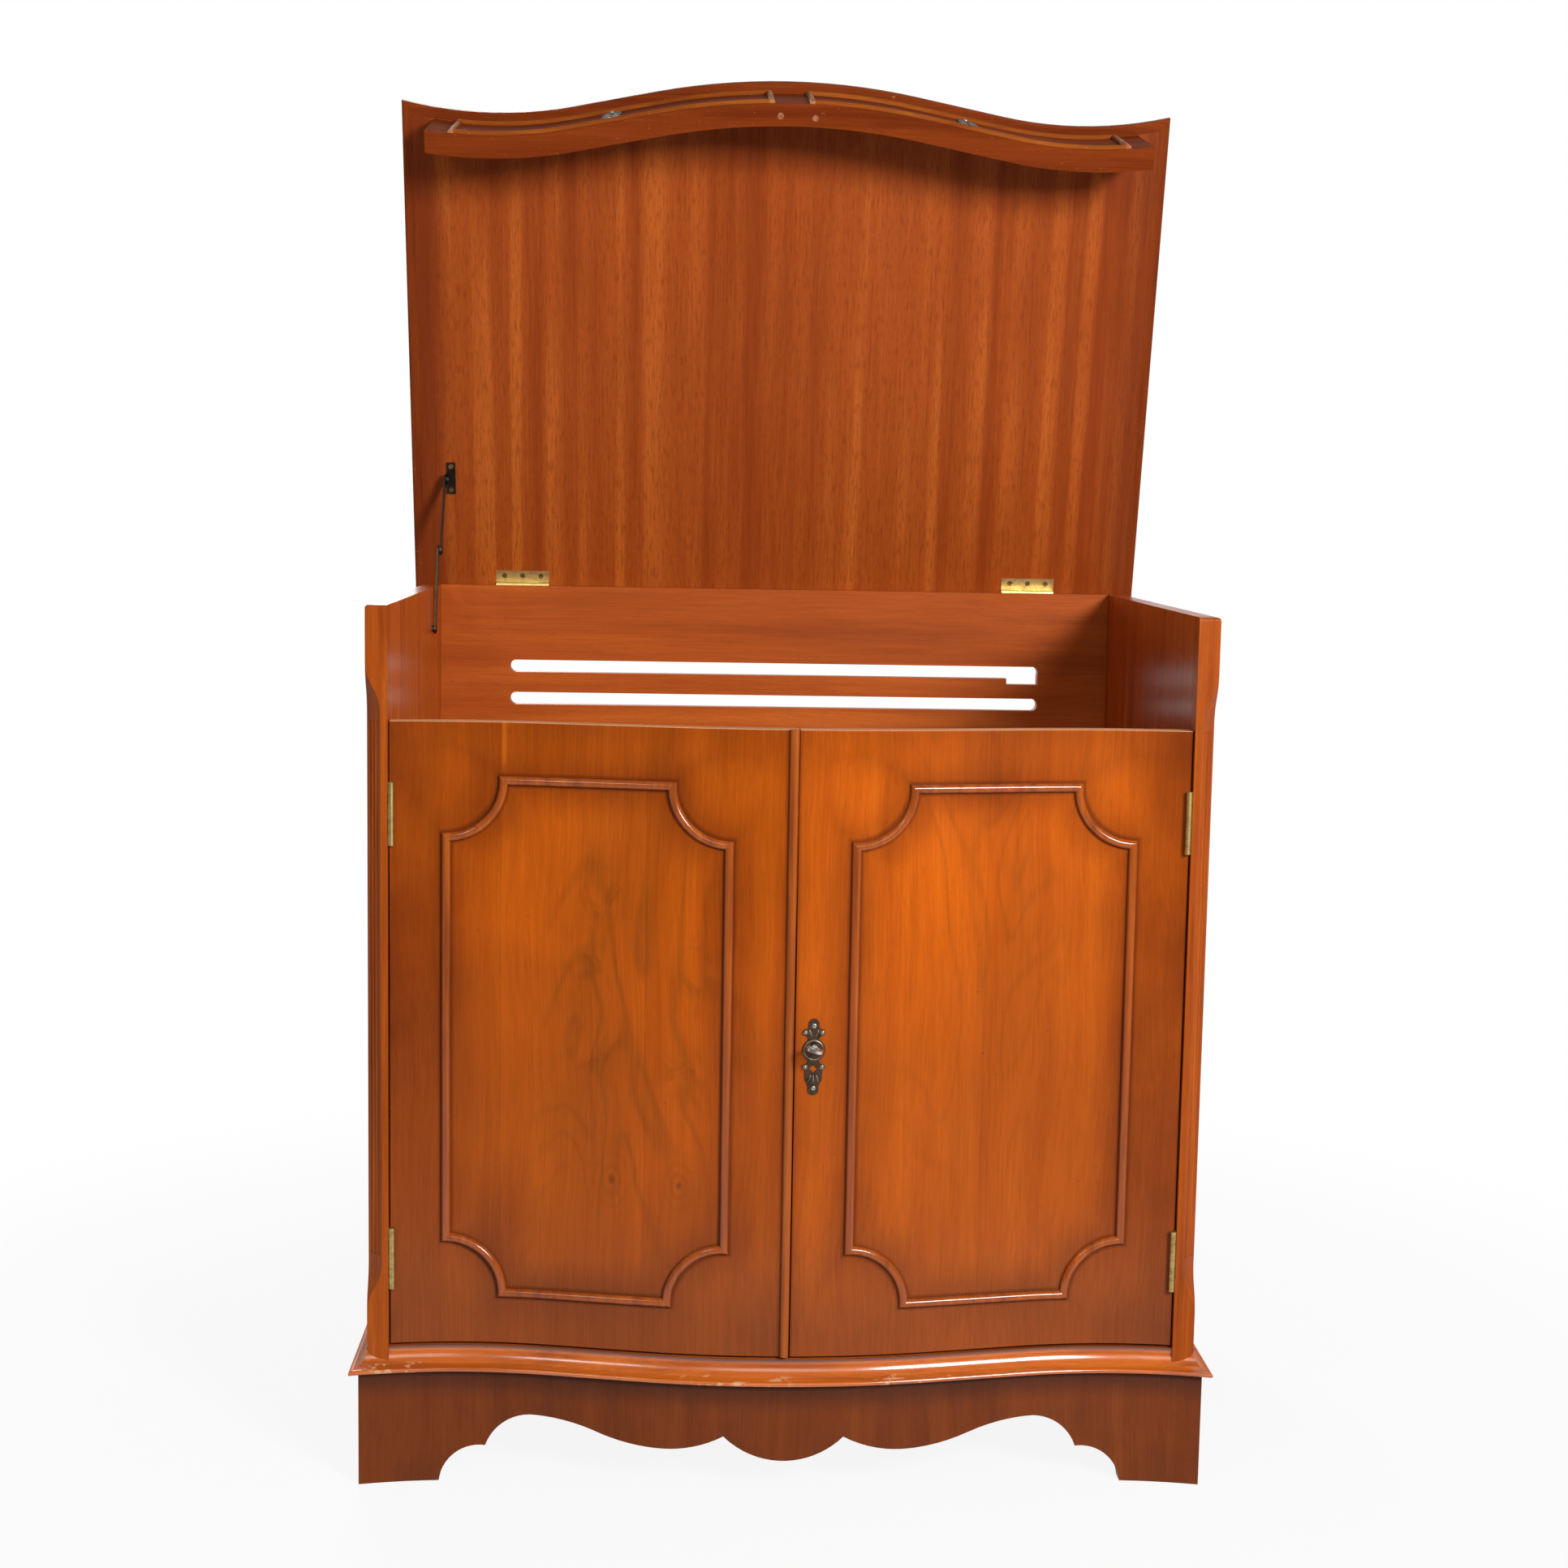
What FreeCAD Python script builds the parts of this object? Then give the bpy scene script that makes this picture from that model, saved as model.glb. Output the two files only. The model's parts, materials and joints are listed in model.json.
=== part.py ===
import FreeCAD, Part
import math
import os

# Television cabinet with a serpentine front: lift-up lid, two doors, bracket plinth.
# Millimetres. While it is drawn, X runs to the viewer's right, Y from the front edges of
# the sides to the back, Z up from the floor. The finished pieces are then moved along Y so
# that the origin lies under the middle of the whole piece, with the lid standing open.

# Carcase
INNER_WIDTH = 812.0
SIDE_THICKNESS = 22.0
BODY_DEPTH = 552.0
SIDE_TOP = 905.0
BACK_THICKNESS = 16.0
BACK_REBATE = 8.0
BOARD_THICKNESS = 18.0
BOARD_HOUSING = 6.0

# Serpentine front line of the doors, from the middle outwards
FRONT_BULGE = 32.0
CREST_RADIUS = 769.0
FLANK_ANGLE = math.radians(11.0)
FLANK_LENGTH = 100.0
HOLLOW_RADIUS = 471.0

# Plinth, with the scallops of its lower edge
PLINTH_HEIGHT = 119.0
PLINTH_PROJECTION = 8.0
PLINTH_THICKNESS = 18.0
PLINTH_BACK_HEIGHT = 80.0
FOOT_WIDTH = 81.0
STEP_WIDTH = 48.0
STEP_HEIGHT = 38.0
STEP_BULGE = 12.8
ARCH_WIDTH = 46.0
ARCH_HEIGHT = 35.0
ARCH_BULGE = 8.8
SCALLOP_WIDTH = 61.5
SCALLOP_DEPTH = 16.0
LOBE_HALF = 61.5
LOBE_DEPTH = 25.0
LOBE_BOTTOM = 38.0
BLOCK_LEG = 46.0
BLOCK_HEIGHT = 70.0

# Base moulding
MOULDING_HEIGHT = 24.0
MOULDING_PROJECTION = 17.0
MOULDING_LIP = 5.0
MOULDING_STEP = 2.0
MOULDING_COVE = 4.5
MOULDING_FILLET = 1.0

# Fluted front stiles, and the softened top arris of stiles and sides
TOP_ROUND = 3.5
STILE_DEPTH = 20.0
CANT = 15.0
STOP_LENGTH = 52.0
CANT_TOP_DROP = 108.0
CANT_FOOT_RISE = 113.0
FLUTE_RADIUS = 2.0
FLUTE_DEPTH = 1.3
FLUTE_PITCH = 5.5
FLUTE_COUNT = 3
FLUTE_END = 8.0

# Doors and their applied mouldings
DOOR_THICKNESS = 18.0
DOOR_TOP_DROP = 115.5
DOOR_FLOOR_GAP = 3.0
DOOR_SIDE_GAP = 1.6
DOOR_MEETING_GAP = 1.5
BEAD_WIDTH = 9.0
BEAD_HEIGHT = 4.5
FRAME_WIDTH = 9.0
FRAME_HEIGHT = 5.5
FRAME_SHOULDER = 1.2
FRAME_SINK = 1.4
FRAME_FROM_CENTRE = 59.0
FRAME_FROM_SIDE = 53.0
FRAME_FROM_TOP = 54.5
FRAME_FROM_FOOT = 49.0
FRAME_CORNER = 58.0

# Butt hinges
HINGE_LENGTH = 64.0
LEAF_WIDTH = 17.5
LEAF_THICKNESS = 1.4
LEAF_SCREW_REACH = 11.0
LEAF_SCREW_INSET = 10.0
KNUCKLE_RADIUS = 3.1
KNUCKLE_COUNT = 5
KNUCKLE_GAP = 0.2
KNUCKLE_PROUD = 0.5
PIN_RADIUS = 1.5
PIN_CLEARANCE = 0.05
RUN_CLEARANCE = 0.3
DOOR_HINGE_FROM_TOP = 61.5
DOOR_HINGE_FROM_FOOT = 59.0
LID_HINGE_SPREAD = 309.0

# Slotted countersunk screws
SCREW_HEAD = 3.0
SCREW_SLOT = 0.8
SCREW_SLOT_DEPTH = 0.9
SCREW_CONE = 1.7
SCREW_SHANK = 1.3
SCREW_LENGTH = 11.0
SCREW_CLEARANCE = 0.1

# Ventilation slots in the back, with a notch for a cable
SLOT_HALF = 315.0
SLOT_HEIGHT = 15.0
SLOT_DROP = 97.3
SLOT_PITCH = 39.3
NOTCH_WIDTH = 38.0
NOTCH_OVERRUN = 7.0
NOTCH_DEPTH = 7.2

# Lid
LID_OVERHANG = 11.0
LID_THICKNESS = 22.0
LID_GAP = 1.0
LIPPING_WIDTH = 12.0
LIPPING_FLAT = 10.0
LIPPING_STEP = 2.0
LIPPING_ROUND = 2.5
LIPPING_BULGE = 3.4
LIPPING_FILLET = 0.8
LID_OPEN_ANGLE = 75.5

# False drawer rail under the front of the lid
RAIL_SETBACK = 1.5
RAIL_THICKNESS = 24.0
RAIL_END_GAP = 4.0
RAIL_DOOR_GAP = 2.0
DRAWER_BAR_WIDTH = 7.0
DRAWER_BAR_HEIGHT = 4.5
DRAWER_BAR_SHOULDER = 1.0
DRAWER_FROM_CENTRE = 19.0
DRAWER_FROM_END = 25.0
DRAWER_FROM_EDGE = 5.0
DRAWER_PLATE_X = 200.0

# Escutcheons
PLATE_THICKNESS = 1.8
PLATE_SINK = 0.3
PLATE_REACH = 33.6
PLATE_FINIAL = 5.4
PLATE_NECK = 3.8
PLATE_SHOULDER = 8.6
PLATE_SHOULDER_RISE = 25.0
PLATE_SCROLL = 3.0
PLATE_MEDALLION = 11.5
PLATE_MEDALLION_RISE = 7.0
PLATE_WING = 8.6
PLATE_WING_DROP = 10.5
PLATE_TAIL = 8.6
PLATE_TAIL_DROP = 22.0
PLATE_EYE_WIDTH = 9.0
PLATE_EYE_HEIGHT = 9.0
PLATE_EYE_DROP = 12.0
PLATE_PIN_REACH = 32.0
PLATE_PIN_RADIUS = 1.4
PLATE_PIN_LENGTH = 8.0
PLATE_PIN_HEAD = 2.4
PLATE_PIN_RISE = 1.2
PLATE_PIN_ROUND = 1.0
PLATE_KEY_RISE = 12.0

# Lock and key of the right door
KEY_X = 24.0
KEYHOLE_DROP = 434.0
KEYHOLE_RADIUS = 3.2
KEYHOLE_SLOT = 3.6
LOCK_WIDTH = 47.0
LOCK_HEIGHT = 44.0
LOCK_DEPTH = 12.0
LOCK_WALL = 1.5
LOCK_EDGE = 0.8
LOCK_LUG = 10.0
LOCK_BOLT_SPARE = 7.25
LOCK_BOLT_HEIGHT = 10.0
LOCK_BOLT_THICKNESS = 6.0
LOCK_BOLT_RISE = 7.0
LOCK_BOLT_TRAVEL = 8.0
LOCK_CLEARANCE = 0.25
TALON_NEAR = 5.5
TALON_WIDTH = 8.0
TALON_CLEARANCE = 0.6
STRIKE_WIDTH = 17.0
STRIKE_MARGIN = 4.0
KEY_STEM = 2.2
KEY_BIT_REACH = 9.0
KEY_BIT_THICKNESS = 3.0
KEY_BIT_LENGTH = 5.0
KEY_STAND_OFF = 13.0
KEY_COLLAR = 3.4
KEY_BOW_RADIUS = 9.0
KEY_BOW_WALL = 3.2
KEY_BOW_THICKNESS = 3.0
KEY_BOW_TILT = 15.0

# Surface bolt of the left door
BOLT_FROM_CENTRE = 22.0
BOLT_FOOT_GAP = 4.0
BOLT_PLATE_WIDTH = 14.0
BOLT_PLATE_LENGTH = 60.0
BOLT_PLATE_THICKNESS = 1.2
BOLT_SCREW_PITCH = 26.0
BOLT_RADIUS = 3.0
BOLT_GUIDE = 8.0
BOLT_WALL = 1.4
BOLT_CLEARANCE = 0.1
BOLT_TRAVEL = 12.0
BOLT_LIFT = 2.0
BOLT_KNOB_RADIUS = 2.2
BOLT_KNOB_LENGTH = 6.0
KEEP_RADIUS = 9.0
KEEP_THICKNESS = 1.0
KEEP_CLEARANCE = 0.6

# Folding lid stay on the left side
STAY_LID_REACH = 131.5
STAY_LID_DROP = 8.0
STAY_BACK_REACH = 119.0
STAY_SIDE_DROP = 48.0
STAY_SLACK = 0.5
ARM_WIDTH = 12.0
ARM_THICKNESS = 2.0
ARM_SIDE_GAP = 2.5
ARM_GAP = 1.0
LUG_GAP = 0.5
STAY_PIN = 2.0
STAY_HEAD = 4.0
STAY_HEAD_HEIGHT = 1.4
STAY_SCREW_DEPTH = 12.0
BRACKET_WIDTH = 10.5
BRACKET_LENGTH = 38.0
BRACKET_THICKNESS = 1.6
BRACKET_SCREW_INSET = 4.6

# Worked-out places
HALF_INNER = INNER_WIDTH / 2
HALF_BODY = HALF_INNER + SIDE_THICKNESS
HALF_PLINTH = HALF_BODY + PLINTH_PROJECTION
HALF_LID = HALF_BODY + LID_OVERHANG
BASE_TOP = PLINTH_HEIGHT + MOULDING_HEIGHT
BACK_FACE = BODY_DEPTH - BACK_THICKNESS
BOARD_HALF = HALF_INNER + BOARD_HOUSING
DOOR_FOOT = BASE_TOP + DOOR_FLOOR_GAP
DOOR_TOP = SIDE_TOP - DOOR_TOP_DROP
DOOR_EDGE = HALF_INNER - DOOR_SIDE_GAP
LEFT_MEETING = BEAD_WIDTH / 2 - DOOR_MEETING_GAP / 2
RIGHT_MEETING = LEFT_MEETING + DOOR_MEETING_GAP
LID_FOOT = SIDE_TOP + LID_GAP
LID_REAR = BODY_DEPTH + LID_OVERHANG
LID_AXIS_Y = BODY_DEPTH + KNUCKLE_RADIUS + KNUCKLE_PROUD
LID_AXIS_Z = SIDE_TOP + LID_GAP / 2
RAIL_FOOT = DOOR_TOP + RAIL_DOOR_GAP
KEYHOLE_Z = SIDE_TOP - KEYHOLE_DROP
CUT_OVER = 60.0
FAR = 2000.0
SNAP = 1e-6


def vec(x, y, z):
    return FreeCAD.Vector(x, y, z)


RIGHT = vec(1, 0, 0)
BACK = vec(0, 1, 0)
FRONT = vec(0, -1, 0)
UP = vec(0, 0, 1)
DOWN = vec(0, 0, -1)
START = vec(0, 0, 0)

# Round pieces have their seam on the diagonal, off the level and upright lines of curved boards
DIAGONAL = FreeCAD.Rotation(UP, 45.0)

# Serpentine line: a positive offset lies nearer to the viewer, and the left mirrors the right
CREST_CENTRE = BACK * (CREST_RADIUS - FRONT_BULGE)
FLANK_OUT = vec(math.sin(FLANK_ANGLE), -math.cos(FLANK_ANGLE), 0)
FLANK_RUN = vec(math.cos(FLANK_ANGLE), math.sin(FLANK_ANGLE), 0)
FLANK_START = CREST_CENTRE + FLANK_OUT * CREST_RADIUS
FLANK_END = FLANK_START + FLANK_RUN * FLANK_LENGTH
HOLLOW_CENTRE = FLANK_END + FLANK_OUT * HOLLOW_RADIUS


def flank_ends(offset):
    """X where the straight flank of an offset line starts and ends."""
    shift = FLANK_OUT.x * offset
    return FLANK_START.x + shift, FLANK_END.x + shift


def front_y(x, offset=0.0):
    x = abs(x)
    start, end = flank_ends(offset)
    if x <= start:
        return CREST_CENTRE.y - math.sqrt((CREST_RADIUS + offset) ** 2 - x ** 2)
    if x <= end:
        foot = FLANK_START + FLANK_OUT * offset
        return foot.y + (x - start) * math.tan(FLANK_ANGLE)
    return HOLLOW_CENTRE.y + math.sqrt((HOLLOW_RADIUS - offset) ** 2 - (x - HOLLOW_CENTRE.x) ** 2)


def front_angle(x):
    """Turn of the door face about Z at a station x of the face."""
    start, end = flank_ends(0)
    if abs(x) <= start:
        return math.asin(x / CREST_RADIUS)
    turn = FLANK_ANGLE
    if abs(x) > end:
        turn = math.asin((HOLLOW_CENTRE.x - abs(x)) / HOLLOW_RADIUS)
    return math.copysign(turn, turn * x)


def face_frame(x):
    """Tangent and outward normal of the door face at a station x."""
    angle = front_angle(x)
    return vec(math.cos(angle), math.sin(angle), 0), vec(math.sin(angle), -math.cos(angle), 0)


def face_point(x, z, offset=0.0):
    """Point at a station x of the door face, moved out along the face's normal."""
    return vec(x, front_y(x), z) + face_frame(x)[1] * offset


def stretches(x_from, x_to, offset):
    """Splits the front line where its arcs and straights meet; a straight has no centre."""
    start, end = flank_ends(offset)
    marks = [x_from] + [x for x in (-end, -start, start, end) if x_from < x < x_to] + [x_to]
    for left, right in zip(marks, marks[1:]):
        middle = abs(left + right) / 2
        centre = HOLLOW_CENTRE if middle > end else CREST_CENTRE
        yield left, right, None if start < middle < end else centre


def line(first, last):
    return Part.LineSegment(first, last).toShape()


def face_of(edges):
    return Part.Face(Part.Wire(Part.__sortEdges__(edges)))


def front_edges(x_from, x_to, offset, z):
    edges = []
    for left, right, centre in stretches(x_from, x_to, offset):
        first, middle, last = [vec(x, front_y(x, offset), z) for x in (left, (left + right) / 2, right)]
        edges.append(Part.Arc(first, middle, last).toShape() if centre else line(first, last))
    return edges


def serpentine_board(outer, inner, z_from, z_to):
    """Board between two front lines, each given as (x from, x to, offset)."""
    edges = front_edges(*outer, z_from) + front_edges(*inner, z_from)
    for pick in (0, 1):
        edges.append(line(vec(outer[pick], front_y(outer[pick], outer[2]), z_from),
                          vec(inner[pick], front_y(inner[pick], inner[2]), z_from)))
    return face_of(edges).extrude(UP * (z_to - z_from))


def serpentine_panel(half, offset, rear, z_from, z_to):
    """Flat panel with a serpentine front edge, straight sides and a straight rear edge."""
    front_right = vec(half, front_y(half, offset), z_from)
    front_left = vec(-half, front_right.y, z_from)
    rear_right = vec(half, rear, z_from)
    rear_left = vec(-half, rear, z_from)
    edges = front_edges(-half, half, offset, z_from)
    edges += [line(front_right, rear_right), line(rear_right, rear_left), line(rear_left, front_left)]
    return face_of(edges).extrude(UP * (z_to - z_from))


def box(x, y, z):
    """Box from its low and high limits on each axis."""
    return Part.makeBox(x[1] - x[0], y[1] - y[0], z[1] - z[0], vec(x[0], y[0], z[0]))


def about(middle, width):
    return middle - width / 2, middle + width / 2


def aimed(start, along):
    """Placement that turns a round piece drawn along +Z to another direction."""
    return FreeCAD.Placement(start, FreeCAD.Rotation(UP, along).multiply(DIAGONAL))


def rod(radius, start, along, length):
    solid = Part.makeCylinder(radius, length)
    solid.Placement = aimed(start, along)
    return solid


def prism(points, along):
    return Part.Face(Part.makePolygon(points + [points[0]])).extrude(along)


def mirrored(shape):
    return shape.mirror(START, RIGHT)


def fused(shapes):
    return shapes[0].fuse(shapes[1:]).removeSplitter()


def half_space(point, normal):
    """Everything on the side of a plane that its normal points to."""
    solid = Part.makeBox(FAR, 2 * FAR, 2 * FAR, vec(0, -FAR, -FAR))
    solid.Placement = FreeCAD.Placement(point, FreeCAD.Rotation(RIGHT, normal))
    return solid


# Outlines are lists of pieces in two coordinates: two points make a line, three an arc
def outline(pieces, origin, across, out):
    def put(point):
        return origin + across * point[0] + out * point[1]

    edges = []
    for piece in pieces:
        points = [put(point) for point in piece]
        edges.append(line(*points) if len(points) == 2 else Part.Arc(*points).toShape())
    return face_of(edges)


def moved(pieces, change):
    return [tuple(change(*point) for point in piece) for piece in pieces]


def bulged(first, last, bulge):
    """Arc that stands off the left of its chord, seen from first to last."""
    run = (last[0] - first[0], last[1] - first[1])
    share = bulge / math.hypot(*run)
    middle = ((first[0] + last[0]) / 2 - run[1] * share, (first[1] + last[1]) / 2 + run[0] * share)
    return first, middle, last


def ogee(first, last):
    """Two tangent arcs that run along the first coordinate at both ends."""
    run, rise = last[0] - first[0], last[1] - first[1]
    radius = (run ** 2 + rise ** 2) / (4 * abs(rise))
    half_turn = math.atan2(abs(rise), abs(run))
    step = math.copysign(radius * math.sin(half_turn), run)
    lift = math.copysign(radius * (1 - math.cos(half_turn)), rise)
    middle = ((first[0] + last[0]) / 2, (first[1] + last[1]) / 2)
    return [(first, (first[0] + step, first[1] + lift), middle),
            (middle, (last[0] - step, last[1] - lift), last)]


def level_arc(first, last):
    """Arc that starts along the first coordinate."""
    return ogee(first, (2 * last[0] - first[0], 2 * last[1] - first[1]))[0]


def bead(width, height, shoulder, sink):
    """Half-round section on low shoulders, sunk below the face that carries it."""
    half = width / 2
    return [((-half, -sink), (-half, shoulder)),
            ((-half, shoulder), (0, height), (half, shoulder)),
            ((half, shoulder), (half, -sink)),
            ((half, -sink), (-half, -sink))]


def front_run(pieces, x_from, x_to, z, offset=0.0):
    """Runs a section along the right half of the front, arc by arc."""
    solids = []
    for left, right, centre in stretches(x_from, x_to, 0.0):
        profile = outline(pieces, face_point(left, z, offset), UP, face_frame(left)[1])
        if centre:
            turn = math.degrees(front_angle(right) - front_angle(left))
            solids.append(profile.revolve(centre, UP, turn))
        else:
            solids.append(profile.extrude(face_point(right, z) - face_point(left, z)))
    return fused(solids) if len(solids) > 1 else solids[0]


def corner_mitre(half, inner_offset, projection):
    """Point and rearward normal of the mitre at a front right corner."""
    inner = vec(half, front_y(half, inner_offset), 0)
    outer_x = half + projection
    run = vec(outer_x, front_y(outer_x, inner_offset + projection), 0) - inner
    return inner, vec(-run.y, run.x, 0).normalize()


def mitred_set(pieces, half, inner_offset, projection, z, rear):
    """Front, left and right lengths of a moulding that wraps the front and both sides."""
    point, normal = corner_mitre(half, inner_offset, projection)
    front = front_run(pieces, 0.0, half + projection + CUT_OVER, z, inner_offset)
    front = front.cut(half_space(point, normal))
    front = fused([front, mirrored(front)])
    side_start = vec(half, -CUT_OVER, z)
    side = outline(pieces, side_start, UP, RIGHT).extrude(BACK * (rear + CUT_OVER))
    side = side.cut(half_space(point, normal * -1))
    return front, mirrored(side), side


# Fasteners
def screw(clearance=0.0):
    """Countersunk screw along +Z, with the top of its head at the origin."""
    head = SCREW_HEAD + clearance
    shank = SCREW_SHANK + clearance
    tip = SCREW_LENGTH + clearance
    points = [START, vec(head, 0, 0), vec(shank, 0, SCREW_CONE), vec(shank, 0, tip), vec(0, 0, tip)]
    return Part.Face(Part.makePolygon(points + [START])).revolve(START, UP, 360)


def screws_at(spots, along):
    """Slotted screws driven along a direction at the given spots, and the holes that take them."""
    driver_slot = box(about(0, 3 * SCREW_HEAD), about(0, SCREW_SLOT), (0, SCREW_SLOT_DEPTH))
    made, holes = [], []
    for spot in spots:
        for group, solid in ((made, screw().cut(driver_slot)), (holes, screw(SCREW_CLEARANCE))):
            solid.Placement = aimed(spot, along)
            group.append(solid)
    return made, holes


class Leaf:
    """One leaf of a butt hinge that turns about Z, closed, with its plate along +Y."""

    def __init__(self, near, far, wood, outer):
        pitch = HINGE_LENGTH / KNUCKLE_COUNT
        self.seat = box((near, far), (0, LEAF_WIDTH), (0, HINGE_LENGTH))
        plate = self.seat
        knuckles = []
        for number in range(KNUCKLE_COUNT):
            foot = UP * (number * pitch)
            if (number % 2 == 0) == outer:
                knuckles.append(rod(KNUCKLE_RADIUS, foot + UP * (KNUCKLE_GAP / 2), UP, pitch - KNUCKLE_GAP))
            else:
                plate = plate.cut(rod(KNUCKLE_RADIUS + RUN_CLEARANCE, foot - UP * (KNUCKLE_GAP / 2), UP,
                                      pitch + KNUCKLE_GAP))
        bore = PIN_RADIUS if outer else PIN_RADIUS + PIN_CLEARANCE
        plate = fused([plate] + knuckles).cut(rod(bore, START, UP, HINGE_LENGTH))
        heights = (LEAF_SCREW_INSET, HINGE_LENGTH / 2, HINGE_LENGTH - LEAF_SCREW_INSET)
        spots = [vec(near if wood > 0 else far, LEAF_SCREW_REACH, height) for height in heights]
        self.screws, self.holes = screws_at(spots, RIGHT * wood)
        self.plate = plate.cut(self.holes)

    def put(self, placement, mirror=False):
        """Plate, seat, screws and holes at a placement, mirrored in X if asked."""
        def copy(shape):
            result = shape.copy()
            result.Placement = placement.multiply(result.Placement)
            return mirrored(result) if mirror else result

        screws = [copy(solid) for solid in self.screws]
        holes = [copy(solid) for solid in self.holes]
        return copy(self.plate), copy(self.seat), screws, holes


nodes = {}


def keep(name, *solids):
    nodes[name] = solids[0] if len(solids) == 1 else Part.makeCompound(list(solids))


def keep_on_lid(name, *solids):
    """Keeps pieces that were drawn with the lid closed, turned to the open lid."""
    for solid in solids:
        solid.rotate(vec(0, LID_AXIS_Y, LID_AXIS_Z), RIGHT, -LID_OPEN_ANGLE)
    keep(name, *solids)


# Carcase: board, sides with stiles, slotted back
bottom_board = serpentine_panel(BOARD_HALF, 0.0, BACK_FACE, BASE_TOP - BOARD_THICKNESS, BASE_TOP)
back_half = HALF_INNER + BACK_REBATE
back_panel = box((-back_half, back_half), (BACK_FACE, BODY_DEPTH), (PLINTH_HEIGHT, SIDE_TOP))
slots = []
for row in (0, 1):
    slot_z = SIDE_TOP - SLOT_DROP - row * SLOT_PITCH
    slots.append(box((-SLOT_HALF, SLOT_HALF), (BACK_FACE, BODY_DEPTH), about(slot_z, SLOT_HEIGHT)))
    for end in (-SLOT_HALF, SLOT_HALF):
        slots.append(rod(SLOT_HEIGHT / 2, vec(end, BACK_FACE, slot_z), BACK, BACK_THICKNESS))
notch_end = SLOT_HALF + NOTCH_OVERRUN
notch_top = SIDE_TOP - SLOT_DROP
notch_foot = notch_top - SLOT_HEIGHT / 2 - NOTCH_DEPTH
slots.append(box((notch_end - NOTCH_WIDTH, notch_end), (BACK_FACE, BODY_DEPTH), (notch_foot, notch_top)))

def top_rounded(board):
    """Softens the top arrises of an upright board along its outer face and its front."""
    edges = []
    for edge in board.Edges:
        middle = edge.CenterOfMass
        outward = abs(middle.x - HALF_BODY) < SNAP or abs(middle.y) < SNAP
        if outward and abs(middle.z - SIDE_TOP) < SNAP:
            edges.append(edge)
    return board.makeFillet(TOP_ROUND, edges)


side = top_rounded(box((HALF_INNER, HALF_BODY), (STILE_DEPTH, BODY_DEPTH), (PLINTH_HEIGHT, SIDE_TOP)))
stile = top_rounded(box((HALF_INNER, HALF_BODY), (0, STILE_DEPTH), (PLINTH_HEIGHT, SIDE_TOP)))
arris = vec(HALF_BODY, 0, 0)
inward = vec(-1, 1, 0).normalize()
along_cant = vec(1, 1, 0).normalize()
cant_depth = CANT / math.sqrt(2)
cant_foot = PLINTH_HEIGHT + CANT_FOOT_RISE
cant_top = SIDE_TOP - CANT_TOP_DROP
stop_foot = cant_foot - STOP_LENGTH
stop_top = cant_top + STOP_LENGTH
cant_waste = ogee((stop_foot, 0), (cant_foot, cant_depth)) + ogee((cant_top, cant_depth), (stop_top, 0))
cant_waste += [((cant_foot, cant_depth), (cant_top, cant_depth)),
               ((stop_foot, 0), (stop_foot, -CANT)),
               ((stop_foot, -CANT), (stop_top, -CANT)),
               ((stop_top, -CANT), (stop_top, 0))]
cutter = outline(cant_waste, arris - along_cant * CUT_OVER, UP, inward).extrude(along_cant * 2 * CUT_OVER)
flutes = []
for number in range(FLUTE_COUNT):
    shift = (number - (FLUTE_COUNT - 1) / 2) * FLUTE_PITCH
    foot = arris + inward * (cant_depth - FLUTE_RADIUS + FLUTE_DEPTH) + along_cant * shift
    length = cant_top - cant_foot - 2 * FLUTE_END
    flutes.append(rod(FLUTE_RADIUS, foot + UP * (cant_foot + FLUTE_END), UP, length))
stile = stile.cut([cutter] + flutes + [bottom_board])
side = side.cut([bottom_board, back_panel])
stiles = {"left": mirrored(stile), "right": stile}
sides = {"left": mirrored(side), "right": side}

# Plinth: scalloped front, bracketed returns, back rail, glue blocks
plinth_inner = HALF_PLINTH - PLINTH_THICKNESS
inner_offset = PLINTH_PROJECTION - PLINTH_THICKNESS
plinth_front = serpentine_board((-HALF_PLINTH, HALF_PLINTH, PLINTH_PROJECTION),
                                (-plinth_inner, plinth_inner, inner_offset), 0, PLINTH_HEIGHT)
step = (STEP_WIDTH, STEP_HEIGHT)
crest = (STEP_WIDTH + ARCH_WIDTH, STEP_HEIGHT + ARCH_HEIGHT)
bracket = [bulged((0, 0), step, STEP_BULGE), bulged(step, crest, ARCH_BULGE), ((0, 0), (0, -CUT_OVER))]
foot_x = HALF_PLINTH - FOOT_WIDTH
cusp = (LOBE_HALF, LOBE_BOTTOM + LOBE_DEPTH)
trough = (LOBE_HALF + SCALLOP_WIDTH, cusp[1] - SCALLOP_DEPTH)
half_edge = moved(bracket, lambda d, z: (foot_x - d, z))
half_edge += ogee((foot_x - crest[0], crest[1]), trough) + [level_arc(trough, cusp)]
apron_edge = half_edge + moved(half_edge, lambda x, z: (-x, z))
apron_edge += [(cusp, (0, LOBE_BOTTOM), (-cusp[0], cusp[1])), ((foot_x, -CUT_OVER), (-foot_x, -CUT_OVER))]
apron_cut = outline(apron_edge, FRONT * BODY_DEPTH, RIGHT, UP).extrude(BACK * (BODY_DEPTH + CUT_OVER))
plinth_front = plinth_front.cut(apron_cut)

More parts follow.
